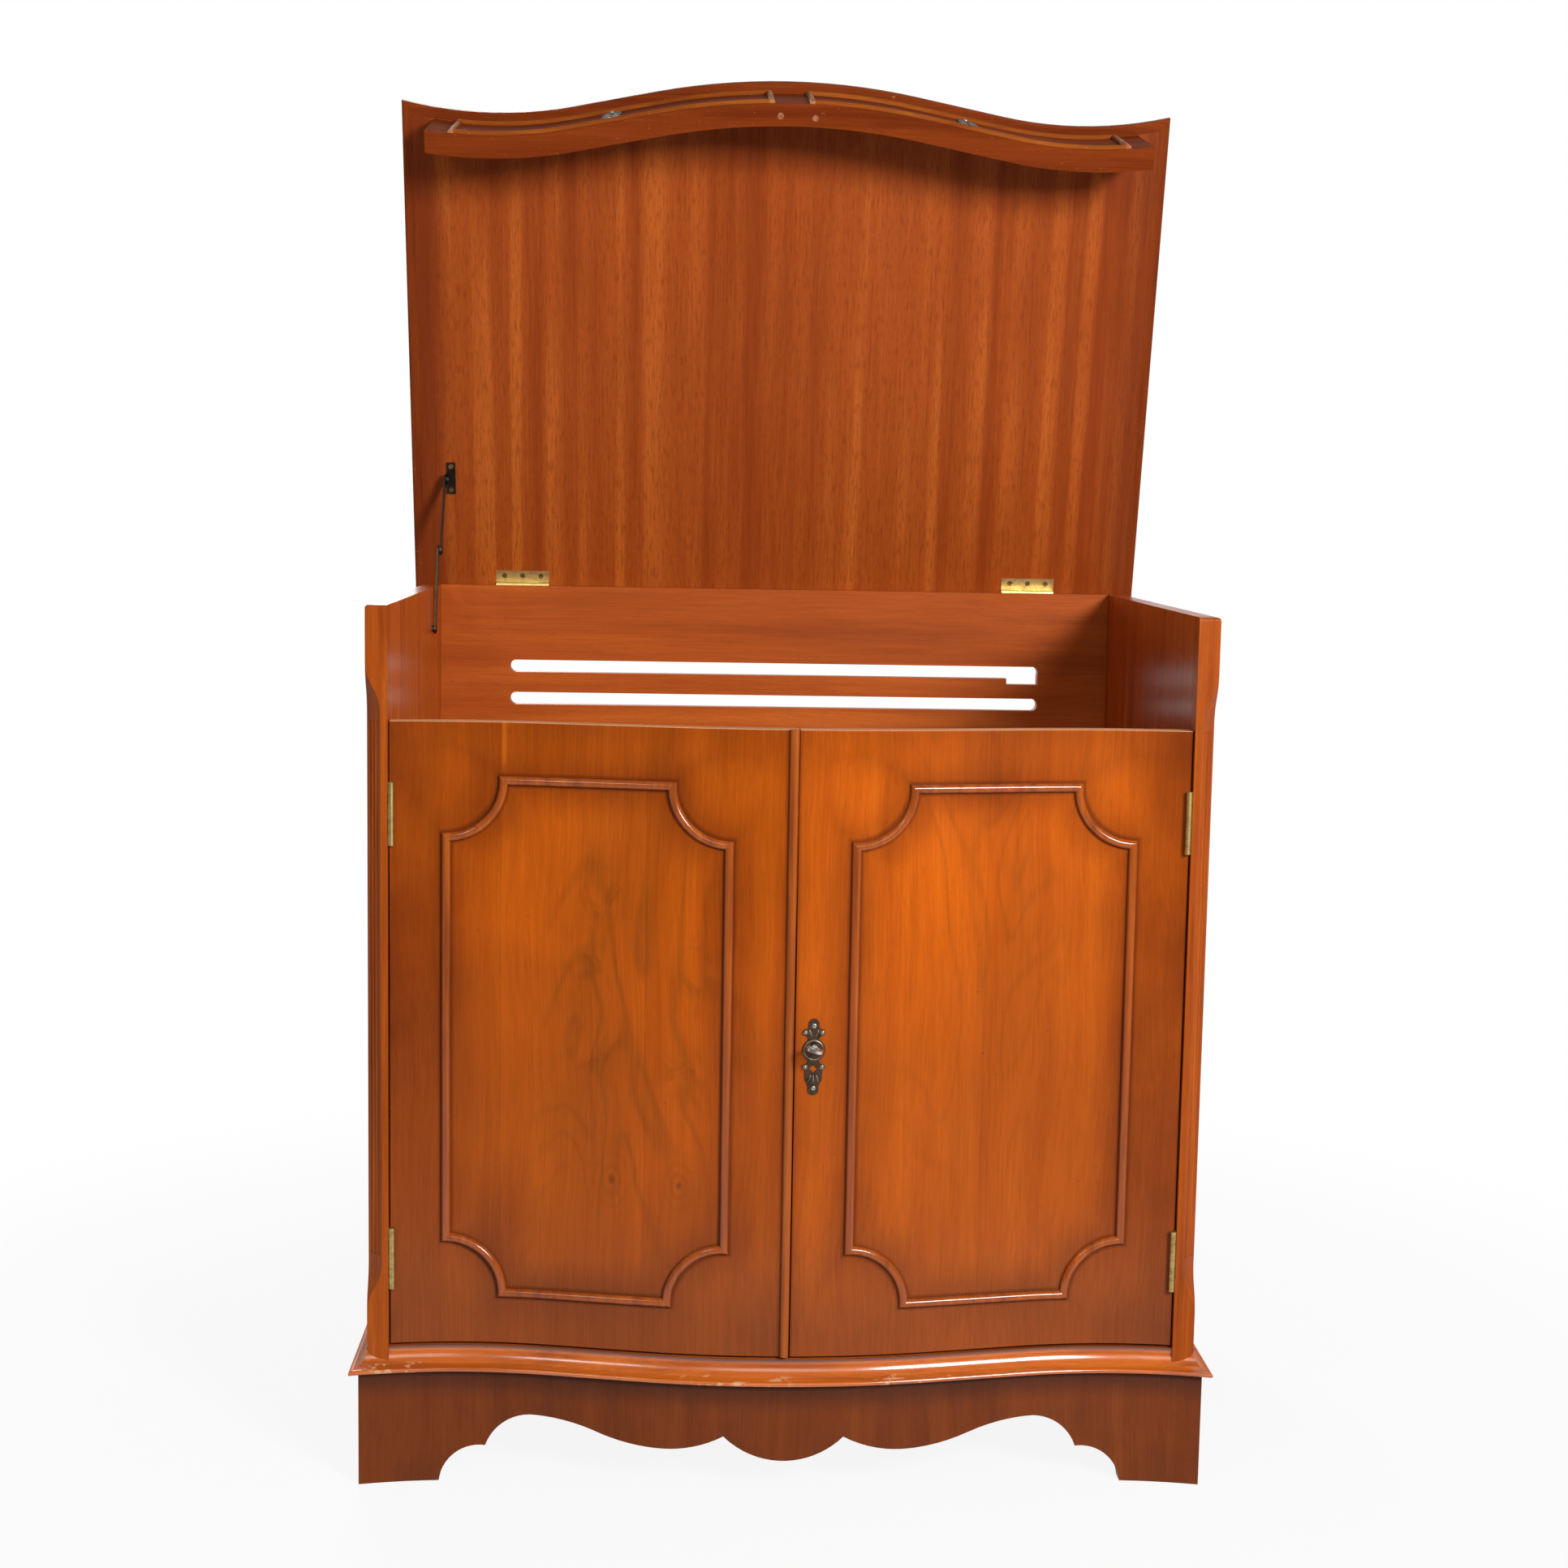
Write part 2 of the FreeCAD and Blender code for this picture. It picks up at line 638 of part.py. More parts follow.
mitre_front = front_y(HALF_PLINTH, PLINTH_PROJECTION)
mitre_rear = front_y(plinth_inner, inner_offset)
plinth_side = prism([vec(HALF_PLINTH, mitre_front, 0), vec(HALF_PLINTH, BODY_DEPTH, 0),
                     vec(plinth_inner, BODY_DEPTH, 0), vec(plinth_inner, mitre_rear, 0)], UP * PLINTH_HEIGHT)
foot_front = mitre_front + FOOT_WIDTH
foot_back = BODY_DEPTH - FOOT_WIDTH
side_edge = moved(bracket, lambda d, z: (foot_front + d, z))
side_edge += moved(bracket, lambda d, z: (foot_back - d, z))
side_edge += [((foot_front + crest[0], crest[1]), (foot_back - crest[0], crest[1])),
              ((foot_front, -CUT_OVER), (foot_back, -CUT_OVER))]
side_cut = outline(side_edge, RIGHT * plinth_inner, BACK, UP).extrude(RIGHT * PLINTH_THICKNESS)
plinth_side = plinth_side.cut(side_cut)
rail_face = BODY_DEPTH - PLINTH_THICKNESS
plinth_back = box((-plinth_inner, plinth_inner), (rail_face, BODY_DEPTH),
                  (PLINTH_HEIGHT - PLINTH_BACK_HEIGHT, PLINTH_HEIGHT))
front_face = front_y(plinth_inner, inner_offset + PLINTH_THICKNESS / 2)
block_foot = PLINTH_HEIGHT - BLOCK_HEIGHT
blocks = []
front_reach = front_face + PLINTH_THICKNESS + BLOCK_LEG
for wall, reach in ((rail_face, rail_face - BLOCK_LEG), (front_face, front_reach)):
    block = prism([vec(plinth_inner, wall, block_foot), vec(plinth_inner - BLOCK_LEG, wall, block_foot),
                   vec(plinth_inner, reach, block_foot)], UP * BLOCK_HEIGHT).cut(plinth_front)
    blocks += [block, mirrored(block)]

# Base moulding: rounded lip, small step, cove up to the body
lip_half = MOULDING_LIP / 2
lip_flat = MOULDING_PROJECTION - lip_half
cove_start = (MOULDING_LIP, lip_flat - MOULDING_STEP)
cove_end = (MOULDING_HEIGHT, MOULDING_FILLET)
base_section = [((0, 0), (0, lip_flat)),
                ((0, lip_flat), (lip_half, MOULDING_PROJECTION), (MOULDING_LIP, lip_flat)),
                ((MOULDING_LIP, lip_flat), cove_start),
                bulged(cove_start, cove_end, -MOULDING_COVE),
                (cove_end, (MOULDING_HEIGHT, 0)),
                ((MOULDING_HEIGHT, 0), (0, 0))]
base_front, base_left, base_right = mitred_set(base_section, HALF_BODY, 0.0, MOULDING_PROJECTION,
                                               PLINTH_HEIGHT, BODY_DEPTH)
base_front = base_front.cut([stiles["left"], stiles["right"]])

# Doors
doors = {}
for hand, x_from, x_to in (("left", -DOOR_EDGE, LEFT_MEETING), ("right", RIGHT_MEETING, DOOR_EDGE)):
    doors[hand] = serpentine_board((x_from, x_to, 0.0), (x_from, x_to, -DOOR_THICKNESS),
                                   DOOR_FOOT, DOOR_TOP)
plain_doors = dict(doors)
bead_x = LEFT_MEETING - BEAD_WIDTH / 2
bead_section = bead(BEAD_WIDTH, BEAD_HEIGHT, FRAME_SINK / 2, FRAME_SINK)
meeting_bead = outline(bead_section, face_point(bead_x, DOOR_FOOT), RIGHT, FRONT)
meeting_bead = meeting_bead.extrude(UP * (DOOR_TOP - DOOR_FOOT)).cut(doors["left"])


def door_moulding(door):
    """Eight mitred lengths round a panel with re-entrant quarter-round corners, right door."""
    section = bead(FRAME_WIDTH, FRAME_HEIGHT, FRAME_SHOULDER, FRAME_SINK)
    half = FRAME_WIDTH / 2
    x_ends = (FRAME_FROM_CENTRE + half, HALF_INNER - FRAME_FROM_SIDE - half)
    z_ends = (DOOR_FOOT + FRAME_FROM_FOOT + half, DOOR_TOP - FRAME_FROM_TOP - half)
    overrun = math.degrees(FRAME_WIDTH / FRAME_CORNER)
    uprights, levels = {0: [], 1: []}, {0: [], 1: []}
    lengths = []
    for x_pick, z_pick in ((0, 0), (0, 1), (1, 0), (1, 1)):
        into = 1 - 2 * x_pick
        rise = UP * (1 - 2 * z_pick)
        centre = face_point(x_ends[x_pick], z_ends[z_pick])
        chord = (face_point(x_ends[x_pick] + into * FRAME_CORNER, z_ends[z_pick]) - centre).normalize()
        out = vec(chord.y, -chord.x, 0) * into
        upright_end = centre + rise * FRAME_CORNER
        level_end = centre + chord * FRAME_CORNER
        mitre = (chord - rise).normalize()
        uprights[x_pick].append(half_space(upright_end, mitre))
        levels[z_pick].append((level_end.x, half_space(level_end, mitre * -1)))
        turn = math.copysign(1.0, rise.cross(chord).dot(out))
        profile = outline(section, upright_end, rise, out)
        profile.rotate(centre, out, -turn * overrun)
        corner_length = profile.revolve(centre, out, turn * (90 + 2 * overrun))
        wastes = [half_space(upright_end, mitre * -1), half_space(level_end, mitre)]
        lengths.append(corner_length.cut(wastes))
    for pick in (0, 1):
        tangent, out = face_frame(x_ends[pick])
        foot = face_point(x_ends[pick], z_ends[0])
        upright = outline(section, foot, tangent, out).extrude(UP * (z_ends[1] - z_ends[0]))
        lengths.append(upright.cut(uprights[pick]))
        near, far = sorted(end for end, waste in levels[pick])
        level = front_run(section, near - FRAME_WIDTH, far + FRAME_WIDTH, z_ends[pick])
        lengths.append(level.cut([waste for end, waste in levels[pick]]))
    return [length.cut(door) for length in lengths]


right_moulding = door_moulding(doors["right"])
left_moulding = [mirrored(length) for length in right_moulding]

# Door hinges
axis_x = HALF_INNER - KNUCKLE_RADIUS - RUN_CLEARANCE
axis_y = front_y(DOOR_EDGE) - KNUCKLE_RADIUS - KNUCKLE_PROUD
frame_far = HALF_INNER - axis_x
door_far = DOOR_EDGE - axis_x
frame_leaf = Leaf(frame_far - LEAF_THICKNESS, frame_far, 1, True)
door_leaf = Leaf(door_far - LEAF_THICKNESS, door_far, -1, False)
hinge_heights = {"upper": DOOR_TOP - DOOR_HINGE_FROM_TOP - HINGE_LENGTH,
                 "lower": DOOR_FOOT + DOOR_HINGE_FROM_FOOT}
hinge_pins, frame_screws = [], []
door_screws = {"left": [], "right": []}
for hand in ("left", "right"):
    for level, height in hinge_heights.items():
        place = FreeCAD.Placement(vec(axis_x, axis_y, height), FreeCAD.Rotation())
        plate, seat, driven, holes = frame_leaf.put(place, hand == "left")
        keep("hinge_%s_%s_frame_leaf" % (hand, level), plate)
        stiles[hand] = stiles[hand].cut(holes)
        frame_screws += driven
        plate, seat, driven, holes = door_leaf.put(place, hand == "left")
        keep("hinge_%s_%s_door_leaf" % (hand, level), plate)
        doors[hand] = doors[hand].cut([seat] + holes)
        door_screws[hand] += driven
        pin = rod(PIN_RADIUS, place.Base, UP, HINGE_LENGTH)
        hinge_pins.append(mirrored(pin) if hand == "left" else pin)

# Lid, drawn closed
lid_half = HALF_LID - LIPPING_WIDTH
lid_offset = LID_OVERHANG - LIPPING_WIDTH
lid_top = LID_FOOT + LID_THICKNESS
lid_panel = serpentine_panel(lid_half, lid_offset, LID_REAR, LID_FOOT, lid_top)
ovolo_start = (LIPPING_FLAT, LIPPING_WIDTH - LIPPING_STEP)
ovolo_end = (LID_THICKNESS, LIPPING_FILLET)
round_corner = LIPPING_ROUND * (1 - math.sqrt(0.5))
lip_section = [((0, 0), (0, LIPPING_WIDTH - LIPPING_ROUND)),
               ((0, LIPPING_WIDTH - LIPPING_ROUND), (round_corner, LIPPING_WIDTH - round_corner),
                (LIPPING_ROUND, LIPPING_WIDTH)),
               ((LIPPING_ROUND, LIPPING_WIDTH), (LIPPING_FLAT, LIPPING_WIDTH)),
               ((LIPPING_FLAT, LIPPING_WIDTH), ovolo_start),
               bulged(ovolo_start, ovolo_end, LIPPING_BULGE),
               (ovolo_end, (LID_THICKNESS, 0)),
               ((LID_THICKNESS, 0), (0, 0))]
lippings = mitred_set(lip_section, lid_half, lid_offset, LIPPING_WIDTH, LID_FOOT, LID_REAR)

rail_end = HALF_INNER - RAIL_END_GAP
rail_inner = -RAIL_SETBACK - RAIL_THICKNESS
fascia_rail = serpentine_board((-rail_end, rail_end, -RAIL_SETBACK), (-rail_end, rail_end, rail_inner),
                               RAIL_FOOT, LID_FOOT)


def drawer_moulding():
    """Four mitred lengths that frame one false drawer, right side."""
    section = bead(DRAWER_BAR_WIDTH, DRAWER_BAR_HEIGHT, DRAWER_BAR_SHOULDER, FRAME_SINK)
    half = DRAWER_BAR_WIDTH / 2
    x_ends = (DRAWER_FROM_CENTRE + half, rail_end - DRAWER_FROM_END - half)
    z_ends = (RAIL_FOOT + DRAWER_FROM_EDGE + half, LID_FOOT - DRAWER_FROM_EDGE - half)
    mitres = {}
    for x_pick in (0, 1):
        tangent = face_frame(x_ends[x_pick])[0]
        for z_pick in (0, 1):
            corner = face_point(x_ends[x_pick], z_ends[z_pick], -RAIL_SETBACK)
            normal = tangent * (2 * x_pick - 1) - UP * (2 * z_pick - 1)
            mitres[x_pick, z_pick] = (corner, normal.normalize())
    lengths = []
    for pick in (0, 1):
        tangent, out = face_frame(x_ends[pick])
        foot = face_point(x_ends[pick], z_ends[0] - DRAWER_BAR_WIDTH, -RAIL_SETBACK)
        rise = UP * (z_ends[1] - z_ends[0] + 2 * DRAWER_BAR_WIDTH)
        upright = outline(section, foot, tangent, out).extrude(rise)
        for corner, normal in (mitres[pick, 0], mitres[pick, 1]):
            upright = upright.cut(half_space(corner, normal * -1))
        level = front_run(section, x_ends[0] - DRAWER_BAR_WIDTH, x_ends[1] + DRAWER_BAR_WIDTH, z_ends[pick],
                          -RAIL_SETBACK)
        lengths += [upright, level.cut([half_space(*mitres[0, pick]), half_space(*mitres[1, pick])])]
    return [length.cut(fascia_rail) for length in lengths]


drawer_right = drawer_moulding()
drawer_left = [mirrored(length) for length in drawer_right]

# Lid hinges: leaves let into the top of the back and the underside of the lid
back_leaf = Leaf(-LID_GAP / 2 - LEAF_THICKNESS, -LID_GAP / 2, -1, True)
lid_leaf = Leaf(LID_GAP / 2, LID_GAP / 2 + LEAF_THICKNESS, 1, False)
hinge_turn = FreeCAD.Rotation(UP, FRONT, RIGHT, "ZXY")
lid_screws = []
for hand, middle in (("left", -LID_HINGE_SPREAD), ("right", LID_HINGE_SPREAD)):
    hinge_start = vec(middle - HINGE_LENGTH / 2, LID_AXIS_Y, LID_AXIS_Z)
    place = FreeCAD.Placement(hinge_start, hinge_turn)
    plate, seat, driven, holes = back_leaf.put(place)
    keep("lid_hinge_%s_back_leaf" % hand, plate)
    back_panel = back_panel.cut([seat] + holes)
    frame_screws += driven
    plate, seat, driven, holes = lid_leaf.put(place)
    keep_on_lid("lid_hinge_%s_lid_leaf" % hand, plate)
    knuckle_groove = rod(KNUCKLE_RADIUS + RUN_CLEARANCE, hinge_start, RIGHT, HINGE_LENGTH)
    lid_panel = lid_panel.cut([seat, knuckle_groove] + holes)
    lid_screws += driven
    hinge_pins.append(rod(PIN_RADIUS, hinge_start, RIGHT, HINGE_LENGTH))


# Escutcheons: finials, scrolled shoulders, round medallion, lower scrolls and a full pierced tail
def keyhole(z, y_from, y_to):
    ward_foot = z - KEY_BIT_REACH - LOCK_CLEARANCE
    ward = box(about(0, KEYHOLE_SLOT), (y_from, y_to), (ward_foot, z))
    return rod(KEYHOLE_RADIUS, vec(0, y_from, z), BACK, y_to - y_from).fuse(ward)


def dome_pin(seat):
    """Round-headed pin whose head sits on the plate's face and whose shank goes into the wood."""
    head_face = seat + FRONT * PLATE_PIN_RISE
    head = rod(PLATE_PIN_HEAD, head_face, BACK, PLATE_PIN_RISE)
    rim = [edge for edge in head.Edges if edge.BoundBox.YMax < head_face.y + SNAP]
    head = head.makeFillet(PLATE_PIN_ROUND, rim)
    return head.fuse(rod(PLATE_PIN_RADIUS, seat, BACK, PLATE_PIN_LENGTH))


def escutcheon():
    """Cast plate about the origin, facing the viewer; its rear face is a little sunk."""
    depth = PLATE_THICKNESS + PLATE_SINK

    def disc(radius, x, z):
        return rod(radius, vec(x, PLATE_SINK, z), FRONT, depth)

    def leaf(points):
        return prism([vec(x, PLATE_SINK, z) for x, z in points], FRONT * depth)

    shoulder = leaf([(PLATE_NECK, PLATE_REACH), (PLATE_SHOULDER, PLATE_SHOULDER_RISE),
                     (0, PLATE_MEDALLION_RISE),
                     (-PLATE_SHOULDER, PLATE_SHOULDER_RISE), (-PLATE_NECK, PLATE_REACH)])
    tail = leaf([(PLATE_NECK, -PLATE_REACH), (PLATE_TAIL, -PLATE_TAIL_DROP), (PLATE_WING, -PLATE_WING_DROP),
                 (0, PLATE_MEDALLION_RISE),
                 (-PLATE_WING, -PLATE_WING_DROP), (-PLATE_TAIL, -PLATE_TAIL_DROP),
                 (-PLATE_NECK, -PLATE_REACH)])
    discs = [disc(PLATE_MEDALLION, 0, PLATE_MEDALLION_RISE)]
    for end in (-1, 1):
        discs.append(disc(PLATE_FINIAL, 0, end * PLATE_REACH))
        discs.append(disc(PLATE_SCROLL, end * PLATE_SHOULDER, PLATE_SHOULDER_RISE))
        discs.append(disc(PLATE_SCROLL, end * PLATE_WING, -PLATE_WING_DROP))
    plate = fused([shoulder, tail] + discs)
    half_width, half_height = PLATE_EYE_WIDTH / 2, PLATE_EYE_HEIGHT / 2
    lozenge = [(0, -half_height), (half_width, 0), (0, half_height), (-half_width, 0)]
    piercing = prism([vec(x, -depth, z - PLATE_EYE_DROP) for x, z in lozenge], BACK * 2 * depth)
    pins = [vec(0, 0, PLATE_PIN_REACH), vec(0, 0, -PLATE_PIN_REACH)]
    pin_holes = [rod(PLATE_PIN_RADIUS, pin + FRONT * depth, BACK, 2 * depth) for pin in pins]
    plate = plate.cut([piercing, keyhole(PLATE_KEY_RISE, -depth, depth)] + pin_holes)
    return plate, [dome_pin(pin + FRONT * PLATE_THICKNESS) for pin in pins]


def plate_on(x, z, offset):
    turn = FreeCAD.Rotation(UP, math.degrees(front_angle(x)))
    plate, pins = escutcheon()
    place = FreeCAD.Placement(face_point(x, z, offset), turn)
    for solid in [plate] + pins:
        solid.Placement = place.multiply(solid.Placement)
    return plate, pins


drawer_z = (RAIL_FOOT + LID_FOOT) / 2
drawer_plates, drawer_pins = [], []
for x in (-DRAWER_PLATE_X, DRAWER_PLATE_X):
    plate, pins = plate_on(x, drawer_z, -RAIL_SETBACK)
    drawer_plates.append(plate.cut(fascia_rail))
    drawer_pins += pins
fascia_rail = fascia_rail.cut(drawer_pins)
door_plate, plate_pins = plate_on(KEY_X, KEYHOLE_Z - PLATE_KEY_RISE, 0.0)
door_plate = door_plate.cut(doors["right"])
door_keyhole = keyhole(KEYHOLE_Z, -FRONT_BULGE - CUT_OVER, CUT_OVER)
door_keyhole.translate(RIGHT * KEY_X)
doors["right"] = doors["right"].cut([door_keyhole] + plate_pins)

# Lock: open-fronted case on the inside of the right door, its bolt, a strike on the left door
case_left = RIGHT_MEETING + LOCK_EDGE
case_right = case_left + LOCK_WIDTH
case_seat = front_y(0, -DOOR_THICKNESS) - PLATE_SINK
case_back = front_y(KEY_X, -DOOR_THICKNESS) + LOCK_DEPTH
case_z = about(KEYHOLE_Z, LOCK_HEIGHT)
bolt_z = (KEYHOLE_Z + LOCK_BOLT_RISE, KEYHOLE_Z + LOCK_BOLT_RISE + LOCK_BOLT_HEIGHT)
bolt_rear = case_back - LOCK_WALL - LOCK_CLEARANCE
bolt_y = (bolt_rear - LOCK_BOLT_THICKNESS, bolt_rear)
bolt_x = (case_left + LOCK_CLEARANCE, case_right - LOCK_WALL - LOCK_BOLT_SPARE)
bolt_way_y = (bolt_y[0] - LOCK_CLEARANCE, bolt_y[1] + LOCK_CLEARANCE)
bolt_way_z = (bolt_z[0] - LOCK_CLEARANCE, bolt_z[1] + LOCK_CLEARANCE)


def lugged(body, middle, z, hand):
    """Gives a lock piece a lug above and below, seats it on its door and screws it there."""
    lug_face = front_y(middle, -DOOR_THICKNESS) + LOCK_WALL
    lug_x = about(middle, LOCK_LUG)
    lugs = [box(lug_x, (case_seat, lug_face), (z[0] - LOCK_LUG, z[0])),
            box(lug_x, (case_seat, lug_face), (z[1], z[1] + LOCK_LUG))]
    spots = [vec(middle, lug_face, height) for height in (z[0] - LOCK_LUG / 2, z[1] + LOCK_LUG / 2)]
    driven, holes = screws_at(spots, FRONT)
    door_screws[hand] += driven
    doors[hand] = doors[hand].cut(holes)
    return fused([body] + lugs).cut(plain_doors[hand]).cut(holes)


case_walls = box((case_left, case_right), (case_seat, case_back), case_z)
case_hollow = box((case_left + LOCK_WALL, case_right - LOCK_WALL), (case_seat, case_back - LOCK_WALL),
                  (case_z[0] + LOCK_WALL, case_z[1] - LOCK_WALL))
case_mouth = box((case_left, case_left + LOCK_WALL), bolt_way_y, bolt_way_z)
lock_case = lugged(case_walls.cut([case_hollow, case_mouth]), (case_left + case_right) / 2, case_z, "right")
lock_bolt = box(bolt_x, bolt_y, bolt_z)
talon_left = KEY_X + TALON_NEAR
talon_top = KEYHOLE_Z + KEY_BIT_REACH + TALON_CLEARANCE
lock_bolt = lock_bolt.cut(box((talon_left, talon_left + TALON_WIDTH), bolt_y, (bolt_z[0], talon_top)))
strike_right = LEFT_MEETING - LOCK_EDGE
strike_z = (bolt_z[0] - STRIKE_MARGIN, bolt_z[1] + STRIKE_MARGIN)
strike = box((strike_right - STRIKE_WIDTH, strike_right), (case_seat, case_back), strike_z)
pocket_left = bolt_x[0] - LOCK_BOLT_TRAVEL - STRIKE_MARGIN
strike = strike.cut(box((pocket_left, strike_right), bolt_way_y, bolt_way_z))
strike = lugged(strike, strike_right - STRIKE_WIDTH / 2, strike_z, "left")

# Key along Y: stem, bit in the lock, collar and round bow in front
collar_face = front_y(KEY_X) - PLATE_THICKNESS - KEY_STAND_OFF
bow_centre = collar_face - KEY_BOW_RADIUS
key_end = case_back - LOCK_WALL - LOCK_CLEARANCE
stem = rod(KEY_STEM, vec(KEY_X, collar_face - KEY_STEM, KEYHOLE_Z), BACK, key_end - collar_face + KEY_STEM)
collar = rod(KEY_COLLAR, vec(KEY_X, collar_face, KEYHOLE_Z), BACK, KEY_STEM)
bit_end = bolt_y[1] - LOCK_CLEARANCE
bit = box(about(KEY_X, KEY_BIT_THICKNESS), (bit_end - KEY_BIT_LENGTH, bit_end),
          (KEYHOLE_Z - KEY_BIT_REACH, KEYHOLE_Z))
bow_foot = vec(KEY_X, bow_centre, KEYHOLE_Z - KEY_BOW_THICKNESS / 2)
bow = rod(KEY_BOW_RADIUS, bow_foot, UP, KEY_BOW_THICKNESS)
bow_eye = rod(KEY_BOW_RADIUS - KEY_BOW_WALL, bow_foot, UP, KEY_BOW_THICKNESS)
for ring in (bow, bow_eye):
    ring.rotate(vec(KEY_X, bow_centre, KEYHOLE_Z), BACK, KEY_BOW_TILT)
key = fused([stem, collar, bit, bow]).cut(bow_eye)
key_front = bow_centre - KEY_BOW_RADIUS

# Surface bolt at the foot of the left door, with its keep in the bottom board
bolt_at = -BOLT_FROM_CENTRE
plate_face = front_y(bolt_at, -DOOR_THICKNESS) + BOLT_PLATE_THICKNESS
rod_y = plate_face + BOLT_WALL + BOLT_RADIUS
plate_foot = DOOR_FOOT + BOLT_FOOT_GAP
plate_head = plate_foot + BOLT_PLATE_LENGTH
guide_half = BOLT_RADIUS + BOLT_CLEARANCE + BOLT_WALL
guide_feet = (plate_foot, plate_head - BOLT_GUIDE)
bolt_plate = [box(about(bolt_at, BOLT_PLATE_WIDTH), (case_seat, plate_face), (plate_foot, plate_head))]
for foot in guide_feet:
    bolt_plate.append(box(about(bolt_at, 2 * guide_half), (plate_face, rod_y), (foot, foot + BOLT_GUIDE)))
    bolt_plate.append(rod(guide_half, vec(bolt_at, rod_y, foot), UP, BOLT_GUIDE))
bolt_way = rod(BOLT_RADIUS + BOLT_CLEARANCE, vec(bolt_at, rod_y, plate_foot), UP, BOLT_PLATE_LENGTH)
plate_middle = (plate_foot + plate_head) / 2
bolt_spots = [vec(bolt_at, plate_face, height) for height in about(plate_middle, BOLT_SCREW_PITCH)]
leaf_bolt_screws, leaf_bolt_holes = screws_at(bolt_spots, FRONT)
leaf_bolt_plate = fused(bolt_plate).cut(plain_doors["left"]).cut([bolt_way] + leaf_bolt_holes)
doors["left"] = doors["left"].cut(leaf_bolt_holes)
door_screws["left"] += leaf_bolt_screws
rod_foot = DOOR_FOOT + BOLT_LIFT
knob_z = guide_feet[1] - BOLT_KNOB_RADIUS - LOCK_CLEARANCE
bolt_stem = rod(BOLT_RADIUS, vec(bolt_at, rod_y, rod_foot), UP, plate_head + BOLT_TRAVEL - rod_foot)
bolt_knob = rod(BOLT_KNOB_RADIUS, vec(bolt_at, rod_y, knob_z), BACK, BOLT_RADIUS + BOLT_KNOB_LENGTH)
leaf_bolt_rod = fused([bolt_stem, bolt_knob])
keep_top = vec(bolt_at, rod_y, BASE_TOP)
keep_bore = BOLT_RADIUS + KEEP_CLEARANCE
bolt_keep = rod(KEEP_RADIUS, keep_top, DOWN, KEEP_THICKNESS)
bottom_board = bottom_board.cut([bolt_keep, rod(keep_bore, keep_top, DOWN, BOLT_TRAVEL)])
bolt_keep = bolt_keep.cut(rod(keep_bore, keep_top, DOWN, KEEP_THICKNESS))


# Folding stay: a bracket under the lid, two arms in neighbouring planes, a screw in the side
def turned(y, z):
    """A place that is known with the lid closed, moved to the open lid."""
    angle = math.radians(-LID_OPEN_ANGLE)
    y -= LID_AXIS_Y
    z -= LID_AXIS_Z
    return (LID_AXIS_Y + y * math.cos(angle) - z * math.sin(angle),
            LID_AXIS_Z + y * math.sin(angle) + z * math.cos(angle))


lid_pivot_y = LID_AXIS_Y - STAY_LID_REACH
lid_pivot_z = LID_FOOT - STAY_LID_DROP
upper = turned(lid_pivot_y, lid_pivot_z)
lower = (BODY_DEPTH - STAY_BACK_REACH, SIDE_TOP - STAY_SIDE_DROP)
span = math.hypot(upper[0] - lower[0], upper[1] - lower[1])
arm_length = span / 2 + STAY_SLACK
elbow_out = math.sqrt(arm_length ** 2 - (span / 2) ** 2)
elbow = ((upper[0] + lower[0]) / 2 - elbow_out * (upper[1] - lower[1]) / span,
         (upper[1] + lower[1]) / 2 + elbow_out * (upper[0] - lower[0]) / span)
lower_plane = -HALF_INNER + ARM_SIDE_GAP
upper_plane = lower_plane + ARM_THICKNESS + ARM_GAP
lug_plane = upper_plane + ARM_THICKNESS + LUG_GAP


def arm(plane, first, last):
    """Flat bar with round eyes, from one pivot to the next."""
    start = vec(plane, *first)
    run = vec(plane, *last) - start
    across = RIGHT.cross(run).normalize() * (ARM_WIDTH / 2)
    corners = [start + across, start + run + across, start + run - across, start - across]
    bar = prism(corners, RIGHT * ARM_THICKNESS)
    eyes = [rod(ARM_WIDTH / 2, end, RIGHT, ARM_THICKNESS) for end in (start, start + run)]
    return fused([bar] + eyes)


def eye(plane, pivot, clearance):
    return rod(STAY_PIN + clearance, vec(plane, *pivot), RIGHT, ARM_THICKNESS)


stay_lower = arm(lower_plane, lower, elbow)
stay_lower = stay_lower.cut([eye(lower_plane, lower, PIN_CLEARANCE),
                             eye(lower_plane, elbow, RUN_CLEARANCE)])
stay_upper = arm(upper_plane, elbow, upper)
stay_upper = stay_upper.cut([eye(upper_plane, elbow, 0.0), eye(upper_plane, upper, PIN_CLEARANCE)])
elbow_start = vec(upper_plane - ARM_GAP / 2, *elbow)
elbow_head = vec(upper_plane + ARM_THICKNESS, *elbow)
elbow_rivet = fused([rod(STAY_PIN, elbow_start, RIGHT, elbow_head.x - elbow_start.x),
                     rod(STAY_HEAD, elbow_head, RIGHT, STAY_HEAD_HEIGHT)])
side_spot = vec(-HALF_INNER, *lower)
screw_start = side_spot - RIGHT * STAY_SCREW_DEPTH
screw_head = vec(lower_plane + ARM_THICKNESS + LUG_GAP / 2, *lower)
stay_screw = fused([rod(STAY_PIN, screw_start, RIGHT, screw_head.x - screw_start.x),
                    rod(STAY_HEAD, side_spot, RIGHT, ARM_SIDE_GAP - LUG_GAP / 2),
                    rod(STAY_HEAD, screw_head, RIGHT, LUG_GAP)])
sides["left"] = sides["left"].cut(rod(STAY_PIN, screw_start, RIGHT, STAY_SCREW_DEPTH))

